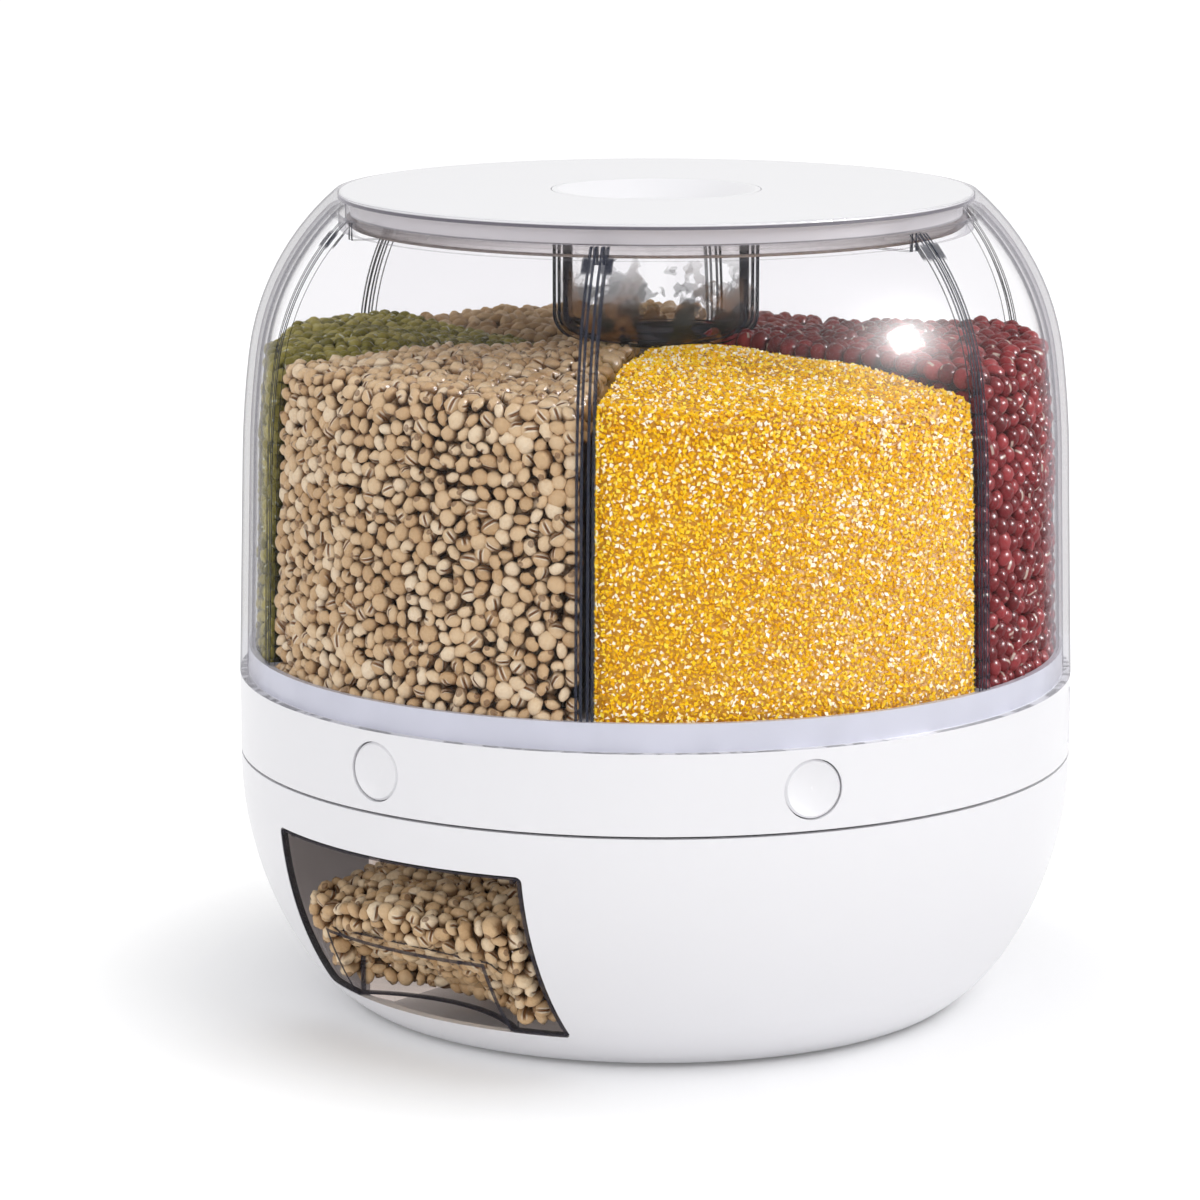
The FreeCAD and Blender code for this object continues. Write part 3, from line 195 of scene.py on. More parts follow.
class Finish:
    """A material, or the world, whose nodes are being made."""

    def __init__(self, name, world=False):
        self.owner = (bpy.data.worlds if world else bpy.data.materials).new(name)
        self.owner.use_nodes = True
        self.tree = self.owner.node_tree
        self.tree.nodes.clear()
        self.end = self.tree.nodes.new("ShaderNodeOutput" + ("World" if world else "Material"))

    def node(self, kind, settings=None, sockets=None, output=0):
        made = self.tree.nodes.new("ShaderNode" + kind)
        for name, choice in (settings or {}).items():
            setattr(made, name, choice)
        for name, value in (sockets or {}).items():
            target = made.inputs[name]
            if isinstance(value, Sock):
                self.tree.links.new(value.socket, target)
            elif target.type == "RGBA":
                target.default_value = (*tuple(value)[:3], 1)
            else:
                target.default_value = value
        return Sock(self, made.outputs[output])

    def place(self):
        return self.node("TexCoord", output="Object")

    def normal(self):
        return self.node("TexCoord", output="Normal")

    def axes(self, where=None):
        """The three parts of a place or a direction."""
        split = self.node("SeparateXYZ", None, {0: where or self.place()})
        return [split.out(axis) for axis in "XYZ"]

    def stored(self, name, output="Fac"):
        """A value that the mesh keeps at its corners."""
        return self.node("Attribute", {"attribute_name": name}, None, output)

    def noise(self, scale, detail=3, roughness=0.5, where=None):
        return self.node("TexNoise", None, {"Vector": where or self.place(), "Scale": scale, "Detail": detail,
                                            "Roughness": roughness})

    def blend(self, share, first, second):
        """A mix of two colours."""
        return self.node("Mix", {"data_type": "RGBA"}, {"Factor": share, 6: first, 7: second}, 2)

    def ramp(self, share, stops):
        """A colour that runs through stops, each a place and a shade."""
        made = self.node("ValToRGB", None, {"Fac": share})
        elements = made.socket.node.color_ramp.elements
        for index, (where, shade) in enumerate(stops):
            stop = elements[index] if index < 2 else elements.new(where)
            stop.position = where
            stop.color = (*shade, 1)
        return made

    def bump(self, height, depth, strength=1.0):
        return self.node("Bump", None, {"Height": height, "Distance": depth, "Strength": strength})

    def principled(self, sockets):
        return self.node("BsdfPrincipled", None, sockets)

    def mixed(self, share, first, second):
        """A mix of two shaders."""
        return self.node("MixShader", None, {0: share, 1: first, 2: second})

    def done(self, shader):
        self.tree.links.new(shader.socket, self.end.inputs["Surface"])
        return self.owner

    def solid(self, sockets):
        return self.done(self.principled(sockets))


def scaled(shade, share):
    return tuple(part * share for part in shade)


def glossy(make, wave, shade):
    """Glossy moulded plastic with a faint waviness in its gloss."""
    return make.solid({
        "Base Color": shade,
        "Roughness": wave * 0.04 + 0.29,
        "Coat Weight": 0.25,
        "Coat Roughness": 0.08,
        "Normal": make.bump(make.noise(9, 1), 0.001, 0.06),
    })


def white_plastic(name, shade):
    """Glossy moulded plastic with a faint mottle."""
    make = Finish(name)
    wave = make.noise(28, 2)
    return glossy(make, wave, make.blend(wave, shade, scaled(shade, 0.98)))


def lid_plastic(name, shade, skirt_shade, line_shade):
    """White plastic with painted shade: below the disc it is painted greyer, as it lies in shade behind the clear
    rim, with dark lines of painted shadow under the disc's edge and a fainter dark line at the foot of the skirt.
    """
    make = Finish(name)
    x, y, z = make.axes()
    radius = (x * x + y * y) ** 0.5
    # Dark lines: painted shadow under the disc's edge, and a fainter line at the skirt's foot
    lines = (stripe(z, DISC_LINE, 0.0008) * radius.above(DISC_RIM, 0.0005)).highest(
        stripe(z, SKIRT_LINE, 0.0006) * 0.7)
    # Painted shade: greyer below the disc
    under = z.below(DISC_UNDERSIDE, 0.00005)
    return glossy(make, make.noise(28, 2), make.blend(lines, make.blend(under, shade, skirt_shade), line_shade))


def moulded_plastic(name, shade, roughness, glow=0.0):
    """Plain moulded plastic with a fine satin texture, and an optional painted glow that stands in for light coming
    through its thin walls.
    """
    make = Finish(name)
    mottle = make.noise(60, 3).smooth(0.3, 0.7)
    return make.solid({
        "Base Color": make.blend(mottle, shade, scaled(shade, 0.94)),
        "Roughness": mottle.smooth(0, 1, roughness, roughness + 0.07),
        # Painted glow, off unless asked for
        "Emission Color": shade,
        "Emission Strength": glow,
        "Normal": make.bump(make.noise(1500, 2), 0.00003, 0.3),
    })


def clear_plastic(name, edge_shade, veil_shade, turn=(0.88, 0.97), most=0.3, veil=0.0, body=(0.987, 0.986, 0.988),
                  lines=None, painted_reflections=None, halo=0.0):
    """Clear thin plastic: see-through face on, with a pale painted reflection and then dark painted shade where it
    turns away, and drawn lines of painted shade.
    """
    make = Finish(name)
    facing = make.node("LayerWeight", None, {"Blend": 0.5}, "Facing")
    normal = make.bump(make.noise(35, 1), 0.0006, 0.05)
    clear = make.mixed(facing ** 14 * 0.4 + 0.001,
                       make.node("BsdfTransparent", None, {"Color": body}),
                       make.node("BsdfGlossy", None, {"Color": (1, 1, 1), "Roughness": 0.02, "Normal": normal}))
    if halo:
        clear = make.mixed(halo, clear, make.node("BsdfGlossy", None, {"Color": (1, 1, 1), "Roughness": 0.34}))
    if painted_reflections:
        clear = painted_reflections(make, clear)
    # Painted pale reflection and painted dark shade, for how the plastic reflects and bends light near its edges
    pale, dark = [make.principled({"Base Color": shade, "Roughness": 0.5, "Specular IOR Level": 0.0})
                  for shade in (veil_shade, edge_shade)]
    clear = make.mixed(facing.smooth(0.69, 0.80) * veil, clear, pale)
    share = lines(make, facing) if lines else facing.smooth(*turn) * most
    return make.done(make.mixed(share, clear, dark))


def stripe(distance, middle, half):
    """One where the distance is near the middle, falling to nothing at its sides."""
    return abs(distance - middle).smooth(half, half * 0.5)


def wall_lines(make, facing):
    """The lines that the rounded upright corners of the bins draw where they bend the light."""
    x, y, z = make.axes()
    sixths = y.math("ARCTAN2", x) * (1 / STEP)
    turn = abs(sixths - sixths.math("ROUND")) * STEP
    radius = (x * x + y * y) ** 0.5
    aside = turn.math("SINE") * radius
    outwards = make.node("VectorMath", {"operation": "MULTIPLY_ADD"}, {
        0: make.place(), 1: (1, 1, 0), 2: (0, 0, 0.04)})
    outwards = make.node("VectorMath", {"operation": "NORMALIZE"}, {0: outwards})
    along = abs(make.node("VectorMath", {"operation": "DOT_PRODUCT"}, {0: outwards, 1: make.normal()}, "Value"))
    outer = along.smooth(0.25, 0.45) * radius.above(BIN_WALL, 0.005)
    pairs = stripe(aside, 0.0010, 0.0007) * 0.95 + stripe(aside, 0.0026, 0.0006) * 0.85
    clip = stripe(z, BIN_CLIP, 0.0030) * aside.below(0.00475, 0.00025) * 0.85
    return pairs.highest(clip, facing.smooth(0.84, 0.92) * 0.55) * outer


def front_lines(make, facing):
    """The dark rim of the tray's front, with the outline of its finger grip."""
    x, _, up = make.axes()
    across = abs(x)
    faces_out = abs(make.axes(make.normal())[1]).smooth(0.2, 0.4)
    rim = across.above(FRONT_EDGE, 0.0003).highest(up.above(FRONT_TOP, 0.00025), up.below(FRONT_FOOT, 0.0003))
    side = stripe(across, GRIP_EDGE, 0.0009) * up.below(GRIP_TOP + 0.00045, 0.00025)
    top = stripe(up, GRIP_TOP, 0.0009) * across.below(GRIP_EDGE + 0.00055, 0.00025)
    return rim.highest(side.highest(top) * faces_out, facing.smooth(0.84, 0.96) * 0.6) * 0.85


def box_lines(make, facing):
    """The tray box's upper rim and its edges."""
    rim = make.axes()[2].above(BOX_RIM, 0.0002)
    return (rim * 0.4).highest(facing.smooth(0.88, 0.97) * 0.35)


def seal_lines(make, facing):
    """The seal's dark lower lip."""
    lip = stripe(make.axes()[2], SEAL_LIP, 0.0006)
    return (facing.smooth(0.0, 0.5) * 0.5).highest(lip * 0.9)


def cup_lines(make, facing):
    """The double dark outline of the cup's thick wall."""
    return facing.smooth(0.72, 0.78).highest(stripe(facing, 0.52, 0.06)) * 0.85


def cup_painted_reflections(make, clear):
    """Painted reflections: dim olive and amber shapes standing in for the grain round the cup, seen in its walls,
    stronger in its lower half.
    """
    low = make.axes()[2].below(CUP_MIDDLE, 0.010)
    share = (make.noise(62, 3, 0.6) + low * 0.07).smooth(0.56, 0.58) * (low * 0.5 + 0.06)
    shade = make.blend(make.noise(75, 1).smooth(0.47, 0.52), (0.020, 0.024, 0.016), (0.34, 0.16, 0.05))
    return make.mixed(share, clear, make.principled({"Base Color": shade, "Roughness": 0.15}))


def brushed_metal(name, shade, roughness):
    """Metal with fine scratches."""
    make = Finish(name)
    scratches = make.noise(420, 4, 0.7)
    return make.solid({
        "Base Color": shade,
        "Metallic": 1.0,
        "Roughness": scratches.smooth(0.3, 0.7, roughness, roughness + 0.16),
        "Normal": make.bump(scratches, 0.00002, 0.3),
    })


def rubber(name, shade):
    """Dull rubber with a fine grain."""
    make = Finish(name)
    return make.solid({
        "Base Color": make.blend(make.noise(200, 3), shade, scaled(shade, 1.4)),
        "Roughness": 0.6,
        "Normal": make.bump(make.noise(1800, 2), 0.00004, 0.4),
    })


def in_shadow(make, shade, rim, depth=0.8, dark=(0.03, 0.012, 0.004)):
    """Painted shade: darken a kernel's colour towards its rim and where it lies deeper in the heap."""
    deep = make.stored("kernel_shadow")
    rim_shaded = make.blend(deep.smooth(0.40, 0.98) * depth, shade, rim)
    return make.blend(deep.smooth(1.1, 2.0) * 0.75, rim_shaded, dark)


def tears_finish():
    """Cream kernels with a brown crease between two pale lips and a dark tip."""
    make = Finish("job_tears")
    spot = make.stored("kernel_place", "Vector")
    x, y, z = make.axes(spot)
    grain = make.noise(3.2, 3, where=spot)
    body = make.ramp(make.stored("kernel_tone") * 0.75 + grain * 0.3, CREAM)
    front = z.smooth(0.1, 0.45)
    crease = abs(y).smooth(0.20, 0.06) * front
    lips = abs(y).smooth(0.40, 0.22) * front - crease
    tip = abs(x - 0.96).smooth(0.14, 0.06)
    shade = make.blend(lips.smooth(0, 1, 0, 0.7), body, (0.92, 0.82, 0.67))
    shade = make.blend(crease, shade, (0.19, 0.075, 0.025))
    shade = make.blend(tip * 0.7, shade, (0.16, 0.07, 0.03))
    return make.solid({
        # Painted shade towards each kernel's rim and deeper in the heap
        "Base Color": in_shadow(make, shade, (0.17, 0.08, 0.03), 0.88),
        "Roughness": 0.30,
        "Specular IOR Level": 0.25,
        "Normal": make.bump(grain * 0.5 - crease, 0.0006, 0.9),
    })


def bean_finish(name, stops, scar, gloss=0.28):
    """Smooth beans with a pale scar along one side."""
    make = Finish(name)
    spot = make.stored("kernel_place", "Vector")
    x, y, z = make.axes(spot)
    grain = make.noise(4.0, 3, where=spot)
    body = make.ramp(make.stored("kernel_tone") * 0.8 + grain * 0.25, stops)
    mark = abs(y).smooth(0.16, 0.07) * z.smooth(0.55, 0.7) * abs(x).smooth(0.5, 0.35)
    return make.solid({
        # Painted shade towards each bean's rim and deeper in the heap
        "Base Color": in_shadow(make, make.blend(mark, body, scar), scaled(stops[0][1], 0.35)),
        "Roughness": grain.smooth(0.3, 0.7, gloss, gloss + 0.12),
        "Specular IOR Level": 0.10,
        "Coat Weight": 0.04,
        "Coat Roughness": 0.15,
        "Normal": make.bump(grain, 0.0004, 0.35),
    })


def chip_finish(name, stops):
    """Small translucent chips whose colour differs from chip to chip, with painted shade deeper in the heap and a
    painted glow that stands in for the light they pass to one another.
    """
    make = Finish(name)
    buried_shade = make.stored("kernel_shadow").smooth(0.6, 1.9) * 0.5
    shade = make.blend(buried_shade, make.ramp(make.stored("kernel_tone"), stops), (0.48, 0.19, 0.0))
    return make.solid({
        "Base Color": shade,
        # Painted glow: the chips give off their own colour as light
        "Emission Color": shade,
        "Emission Strength": 0.20,
        "Roughness": 0.35,
        "Specular IOR Level": 0.1,
        "Normal": make.bump(make.noise(2500, 2), 0.00015, 0.6),
    })


def core_finish(name, dark, light, cell):
    """What shows between the outer kernels: more kernels in shadow, with that shade painted into their dark colours.
    """
    make = Finish(name)
    cells = make.node("TexVoronoi", None, {"Vector": make.place(), "Scale": 1 / cell, "Randomness": 1.0}, "Distance")
    return make.solid({
        "Base Color": make.blend(cells.smooth(0.1, 0.6), light, dark),
        "Roughness": 0.7,
        "Normal": make.bump(1 - cells, cell * 0.5, 0.9),
    })


# Modelling helpers

def mode(name):
    bpy.ops.object.mode_set(mode=name)


def numbered(stem):
    return ["{}_{}".format(stem, index) for index in SIX]


def deselect():
    if bpy.context.object and bpy.context.object.mode != "OBJECT":
        mode("OBJECT")
    bpy.ops.object.select_all(action="DESELECT")


def choose(*pieces):
    """Select pieces, the first of them active."""
    deselect()
    for piece in pieces:
        piece.select_set(True)
    bpy.context.view_layer.objects.active = pieces[0]


def joined(name, *parts):
    choose(*parts)
    bpy.ops.object.join()
    parts[0].name = name
    return parts[0]


def welded(reach, sides=0):
    """Merge near corners of the active mesh, close its holes of up to so many sides and turn its faces outwards."""
    mode("EDIT")
    bpy.ops.mesh.select_all(action="SELECT")
    bpy.ops.mesh.remove_doubles(threshold=reach)
    if sides:
        bpy.ops.mesh.select_all(action="DESELECT")
        bpy.ops.mesh.select_non_manifold()
        bpy.ops.mesh.fill_holes(sides=sides)
        bpy.ops.mesh.select_all(action="SELECT")
    bpy.ops.mesh.normals_make_consistent(inside=False)
    mode("OBJECT")


def finish_node(node, finish):
    """Give a CAD node its finish."""
    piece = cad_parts[node]
    if not piece.data.materials:
        piece.data.materials.append(finish)
    for index in range(len(piece.data.materials)):
        piece.data.materials[index] = finish


def shaped(test, offset, size):
    """Move and resize the corners of the active mesh that pass a test."""
    mesh = bpy.context.object.data
    for vertex in mesh.vertices:
        vertex.select = test(vertex.co)
    for part in list(mesh.edges) + list(mesh.polygons):
        part.select = False
    mode("EDIT")
    bpy.context.tool_settings.mesh_select_mode = (True, False, False)
    if offset:
        bpy.ops.transform.translate(value=offset)
    if size:
        bpy.ops.transform.resize(value=size, center_override=(0, 0, 0))
    mode("OBJECT")


def every(co):
    return True


# How each kernel is shaped from a ball or a cone: which corners, how far they move and how they are resized
KERNELS = {
    "tear": ((lambda co: co.z > 0.5, (0, 0, -0.22), None),
             (lambda co: abs(co.y) < 0.2 and co.z > 0.2, (0, 0, -0.2), None),
             (every, None, (1.1, 0.98, 0.78)),
             (lambda co: co.x > 0.6, None, (1.0, 0.75, 0.8))),
    "bean": ((lambda co: abs(co.x) < 0.4 and co.z > 0.7, (0, 0, -0.1), None),
             (every, None, (1.22, 0.86, 0.88))),
    "round": ((every, None, (1.12, 0.94, 0.94)),),
    "flake": ((every, None, (1.15, 0.95, 0.6)),),
    "chip": ((lambda co: co.z > 0.2, (0.25, -0.15, 0.1), None),
             (lambda co: co.x < -0.5, (0.1, 0.3, 0.2), None),
             (every, None, (1.2, 0.8, 1.0))),
}


def kernel(kind):
    """Model one kernel of a grain, about 2 units across, and give its corners and triangles."""
    deselect()
    if kind == "chip":
        bpy.ops.mesh.primitive_cone_add(vertices=4, radius1=1, depth=1, location=(0, 0, -0.2))
        bpy.ops.object.transform_apply()
        mode("EDIT")
        bpy.ops.mesh.select_all(action="SELECT")
        bpy.ops.mesh.quads_convert_to_tris()
        mode("OBJECT")
    else:
        bpy.ops.mesh.primitive_ico_sphere_add(subdivisions=2, radius=1)
    for step in KERNELS[kind]:
        shaped(*step)
    piece = bpy.context.object
    mesh = piece.data
    corners = np.array([vertex.co for vertex in mesh.vertices])
    faces = np.array([face.vertices for face in mesh.polygons])
    bpy.data.objects.remove(piece)
    bpy.data.meshes.remove(mesh)
    return corners, faces


def random_turns(count, rng):
    """Random rotation matrices."""
    q = rng.normal(size=(count, 4))
    q /= np.linalg.norm(q, axis=1)[:, None]
    w, x, y, z = q.T
    return np.stack([
        np.stack([1 - 2 * (y * y + z * z), 2 * (x * y - z * w), 2 * (x * z + y * w)], 1),
        np.stack([2 * (x * y + z * w), 1 - 2 * (x * x + z * z), 2 * (y * z - x * w)], 1),
        np.stack([2 * (x * z - y * w), 2 * (y * z + x * w), 1 - 2 * (x * x + y * y)], 1)], 1)


def mesh_piece(name, corners, faces, finish, smooth=True):
    """A new object from arrays of corners and of triangles or quads."""
    mesh = bpy.data.meshes.new(name)
    sides = faces.shape[1]
    mesh.vertices.add(len(corners))
    mesh.vertices.foreach_set("co", corners.astype(np.float32).ravel())
    mesh.loops.add(faces.size)
    mesh.loops.foreach_set("vertex_index", faces.astype(np.int32).ravel())
    mesh.polygons.add(len(faces))
    mesh.polygons.foreach_set("loop_start", np.arange(0, faces.size, sides, dtype=np.int32))
    mesh.polygons.foreach_set("use_smooth", np.full(len(faces), smooth))
    mesh.update(calc_edges=True)
    mesh.validate()
    mesh.materials.append(finish)
    piece = bpy.data.objects.new(name, mesh)
    bpy.context.collection.objects.link(piece)
    return piece


def scattered(name, grain, room, places, rng, finish):
    """Copies of one kernel at many places, as one piece that keeps each kernel's own surface, tone and depth for its
    painted shade.
    """
    corners, faces = kernel(grain.kind)
    count = len(places)
    turns = random_turns(count, rng)
    sizes = grain.radius * grain.swell * (1 + grain.spread * rng.uniform(-1, 0.6, (count, 1, 1)))
    placed = (np.einsum("nij,kj->nki", turns, corners) * sizes + places[:, None, :]).reshape(-1, 3)
    tones = np.repeat(rng.random(count), len(corners))
    deep = room.hidden(placed).reshape(count, -1) / grain.radius
    front = deep.min(axis=1, keepdims=True)
    # Depth for the painted shade: behind its kernel's own front, and half as much behind the heap's surface, in
    # kernel radii
    shadow = np.clip(deep - front + np.clip(front, 0, 3) * 0.5, 0, 3)
    numbers = faces[None] + (np.arange(count) * len(corners))[:, None, None]
    piece = mesh_piece(name, room.world(placed), numbers.reshape(-1, faces.shape[1]), finish, grain.kind != "chip")
    for label, kind, field, values in (
            ("kernel_place", "FLOAT_VECTOR", "vector", np.tile(corners, (count, 1))),
            ("kernel_tone", "FLOAT", "value", tones),
            ("kernel_shadow", "FLOAT", "value", shadow)):
        piece.data.attributes.new(label, kind, "POINT").data.foreach_set(field, values.astype(np.float32).ravel())
    return piece


# Room for the grain, in millimetres: u outwards, v to the right of the compartment seen from outside, z up

def bearing(p, r, away):
    """Directions in space, from how far each goes outwards and upwards at its point."""
    return np.stack([away[:, 0] * p[:, 0] / r, away[:, 0] * p[:, 1] / r, away[:, 1]], 1)


class Bin:
    """The room of one bin, as distances to its walls."""
    # Walls and levels, a radius inside the room at every level of the grain, the arcs of the outer wall above its
    # straight part, the slopes of the floor to its outlet, and the rim where the heap falls off
    BODY = 140
    WALL = 5.5
    SIDE = 2.4
    NEAR = 16.5
    FLOOR = 111
    TAPER = math.radians(1.47)
    PROBE = 120.0
    SHOULDER_LEVEL = 184.5
    SHOULDER_MIDDLE = (-190.08, 176.08)
    SHOULDER_REACH = 322.8
    CROWN_REACH = 79.2
    CROWN_PITCH = math.radians(7.28)
    OUTLET = (95.5, 108.5)
    SLOPES = (77.5, 26.4)
    RISE = 7.5
    HEAP_RIM = 130

    def __init__(self, index, grain):
        self.index = index
        self.crest = grain.crest
        self.peak = grain.peak
        self.falls = grain.falls
        self.levels = grain.levels
        self.wave = 0.7 * index

    def outer(self, p):
        """Distance to the outer wall and the direction away from it."""
        r = np.hypot(p[:, 0], p[:, 1])
        z = p[:, 2]
        shoulder_r, shoulder_z = self.SHOULDER_MIDDLE
        straight = (self.BODY - self.WALL - (z - self.FLOOR) * math.tan(self.TAPER) - r) * math.cos(self.TAPER)
        shoulder = self.SHOULDER_REACH - np.hypot(r - shoulder_r, z - shoulder_z)
        crown = self.CROWN_REACH - np.hypot(r - CROWN_RADIUS, z - CROWN_HEIGHT)
        high = z - CROWN_HEIGHT > (r - CROWN_RADIUS) * math.tan(self.CROWN_PITCH)
        middle = (z > self.SHOULDER_LEVEL) & ~high
        distance = np.where(high, crown, np.where(middle, shoulder, straight))
        middle_r = np.where(high, CROWN_RADIUS, np.where(middle, shoulder_r, 0))
        middle_z = np.where(high, CROWN_HEIGHT, np.where(middle, shoulder_z, 0))
        away = np.stack([middle_r - r, np.where(middle | high, middle_z - z, 0)], 1)
        away /= np.linalg.norm(away, axis=1)[:, None]
        return distance, bearing(p, r, away)

    def sides(self, p):
        """Distance to each side wall and the direction away from it."""
        s, c = math.sin(HALF_STEP), math.cos(HALF_STEP)
        for sign in (1, -1):
            yield p[:, 0] * s - sign * p[:, 1] * c - self.SIDE, (s, -sign * c, 0)

    def floor(self, p):
        """Level of the floor, which falls to the outlet from inside and outside."""
        r = np.hypot(p[:, 0], p[:, 1])
        return self.FLOOR + np.clip((self.OUTLET[0] - r) / self.SLOPES[0], 0, 1) * self.RISE \
            + np.clip((r - self.OUTLET[1]) / self.SLOPES[1], 0, 1) * self.RISE

    def top(self, p):
        """Level of the heap: a blunt cone with ripples, lower along the outer wall."""
        u, v = p[:, 0], p[:, 1]
        gap_u, gap_v = u - self.peak[0], v - self.peak[1]
        out, inward, right, left = self.falls
        fall = np.sqrt((gap_u * np.where(gap_u > 0, out, inward)) ** 2
                       + (gap_v * np.where(gap_v > 0, right, left)) ** 2 + 4)
        ripple = np.sin(u / 13 + self.wave) * np.cos(v / 11 + self.wave * 2) * 1.3
        rim = self.HEAP_RIM - np.hypot(u, v)
        return self.crest - fall + ripple - np.clip(6 - rim, 0, 8) ** 2 * 0.07

    def held(self, p, room):
        """Push points back until each is a distance inside all walls."""
        for _ in range(2):
            distance, away = self.outer(p)
            p = p + away * np.clip(room - distance, 0, None)[:, None]
            for distance, normal in self.sides(p):
                p = p + np.outer(np.clip(room - distance, 0, None), normal)
            p[:, 0] = np.maximum(p[:, 0], self.NEAR + room)
            low = self.floor(p) + room
            high = self.top(p) - room
            p[:, 2] = np.clip(p[:, 2], low, high)
        return p

    def hidden(self, p):
        """How far points lie behind the nearest surface that shows."""
        shown = [self.outer(p)[0], self.top(p) - p[:, 2]]
        for (distance, _), level in zip(self.sides(p), self.levels):
            shown.append(np.where(p[:, 2] > level, distance, 1e3))
        return np.min(shown, axis=0)

    def inside(self, p, room):
        """Whether points are a distance inside all walls."""
        tests = [self.outer(p)[0] > room, p[:, 0] > self.NEAR + room,
                 p[:, 2] > self.floor(p) + room, p[:, 2] < self.top(p) - room]
        tests += [distance > room for distance, _ in self.sides(p)]
        return np.all(tests, axis=0)

    def box(self):
        return (14, 136), (-70, 70), (110, self.crest + 2)

    def world(self, p):
        """Place in the object, in metres."""
        turn = STEP * (self.index - 1)
        u, v = p[:, 0], p[:, 1]
        return np.stack([u * math.sin(turn) + v * math.cos(turn), -u * math.cos(turn) + v * math.sin(turn),
                         p[:, 2]], 1) * MM

    def ring(self, z, inset):
        """Outline of the room at a level, inset from its walls."""
        radius = self.PROBE + (self.outer(np.array([[self.PROBE, 0, z]]))[0][0] - inset)
        for _ in range(6):
            radius += self.outer(np.array([[radius, 0, z]]))[0][0] - inset
        side = (self.SIDE + inset) / math.cos(HALF_STEP)
        far = math.asin(min(1, side * math.cos(HALF_STEP) / radius))
        turns = np.linspace(-HALF_STEP + far, HALF_STEP - far, 14)
        arc = np.stack([radius * np.cos(turns), radius * np.sin(turns)], 1)
        steps = np.linspace(0, 1, 9)[1:-1, None]
        near = self.NEAR + inset
        right = np.array([near, near * math.tan(HALF_STEP) - side])
        left = right * (1, -1)
        return np.concatenate([arc, right + (arc[-1] - right) * steps[::-1], [right, (near, 0), left],
                               left + (arc[0] - left) * steps])


class Tray:
    """The room of the tray in front of the finger grip, as distances to its walls."""
    # Walls, floor and the lowest top of the heap, the front's two arcs by centre and radius, then the grip
    WALL = 2.3
    BACK = 26.2
    SIDE = 46.3
    FLOOR = 16.3
    LOWEST_TOP = 16.4
    CURVE_LEVEL = 17.2
    LOW_CURVE = (74.92, 47.24, 54.5)
    HIGH_CURVE = (21.8, 82.4, 118.2)
    SCOOP = (159.5, 60)
    RAMP = (99.5, 18.6)
    RAMP_NORMAL = (0.625, 0.781)
    GRIP_HALF = 35
    GRIP_TOP = 39
    index = 1
    wave = 0.4

    def __init__(self, grain):
        self.crest = grain.crest

    def outer(self, p):
        """Distance to the curved front and the direction away from it."""
        r = np.hypot(p[:, 0], p[:, 1])
        z = p[:, 2]
        low = z < self.CURVE_LEVEL
        middle_r, middle_z, size = [np.where(low, *pair) for pair in zip(self.LOW_CURVE, self.HIGH_CURVE)]
        reach = np.hypot(r - middle_r, z - middle_z)
        away = np.stack([(middle_r - r) / reach, (middle_z - z) / reach], 1)
        return size - self.WALL - reach, bearing(p, r, away)

    def grip(self, p):
        """Distance to the hollow of the grip and the direction away from it."""
        u, v, z = p.T
        out, up = self.RAMP_NORMAL
        scoop = np.hypot(u - self.SCOOP[0], v)
        faces = np.stack([(self.RAMP[0] - u) * out + (z - self.RAMP[1]) * up, scoop - self.SCOOP[1],
                          np.abs(v) - self.GRIP_HALF, z - self.GRIP_TOP], 1)
        zero = np.zeros(len(p))
        normals = np.stack([
            np.stack([zero - out, zero, zero + up], 1),
            np.stack([(u - self.SCOOP[0]) / scoop, v / scoop, zero], 1),
            np.stack([zero, np.sign(v), zero], 1),
            np.stack([zero, zero, zero + 1], 1)], 1)
        which = faces.argmax(1)
        rows = np.arange(len(p))
        return faces[rows, which], normals[rows, which]

    def top(self, p):
        """Level of the heap, which ripples and falls away from the middle and to the left."""
        u, v = p[:, 0], p[:, 1]
        ripple = np.sin(u / 9 + self.wave) * np.cos(v / 8 + self.wave) * 1.6
        return self.crest - 0.16 * np.abs(u - 78) - 0.10 * np.clip(-v, 0, None) + ripple

    def held(self, p, room):
        """Push points back until each is a distance inside all walls."""
        for _ in range(2):
            for measure in (self.outer, self.grip):
                distance, away = measure(p)
                p = p + away * np.clip(room - distance, 0, None)[:, None]
            p[:, 0] = np.maximum(p[:, 0], self.BACK + room)
            p[:, 1] = np.clip(p[:, 1], -self.SIDE + room, self.SIDE - room)
            p[:, 2] = np.clip(p[:, 2], self.FLOOR + room, np.maximum(self.top(p) - room, self.LOWEST_TOP + room))
        return p

    def hidden(self, p):
        """How far points lie behind the nearest surface that shows."""
        return np.min([self.outer(p)[0], self.top(p) - p[:, 2], self.grip(p)[0],
                       self.SIDE - np.abs(p[:, 1])], axis=0)

    def inside(self, p, room):
        """Whether points are a distance inside all walls."""
        return np.all([self.outer(p)[0] > room, self.grip(p)[0] > room, p[:, 0] > self.BACK + room,
                       np.abs(p[:, 1]) < self.SIDE - room, p[:, 2] > self.FLOOR + room,
                       p[:, 2] < self.top(p) - room], axis=0)

    def box(self):
        return (26, 136), (-47, 47), (16, self.crest + 3)

    world = Bin.world


def inwards(room, p, step=0.05):
    """Direction from the nearest surface that shows."""
    return np.stack([room.hidden(p + ahead) - room.hidden(p - ahead) for ahead in np.eye(3) * step], 1) / (2 * step)


def spread_out(p, reach):
    """Push apart all points that are nearer to each other than the reach."""
    tree = kdtree.KDTree(len(p))
    for index, where in enumerate(p):
        tree.insert(where, index)
    tree.balance()
    pairs = [(index, other) for index, where in enumerate(p) for _, other, _ in tree.find_range(where, reach)
             if other > index]
    first, second = np.array(pairs).T
    gap = p[first] - p[second]
    length = np.linalg.norm(gap, axis=1)[:, None] + 1e-9
    move = gap / length * (reach - length) * 0.4
    np.add.at(p, first, move)
    np.add.at(p, second, -move)


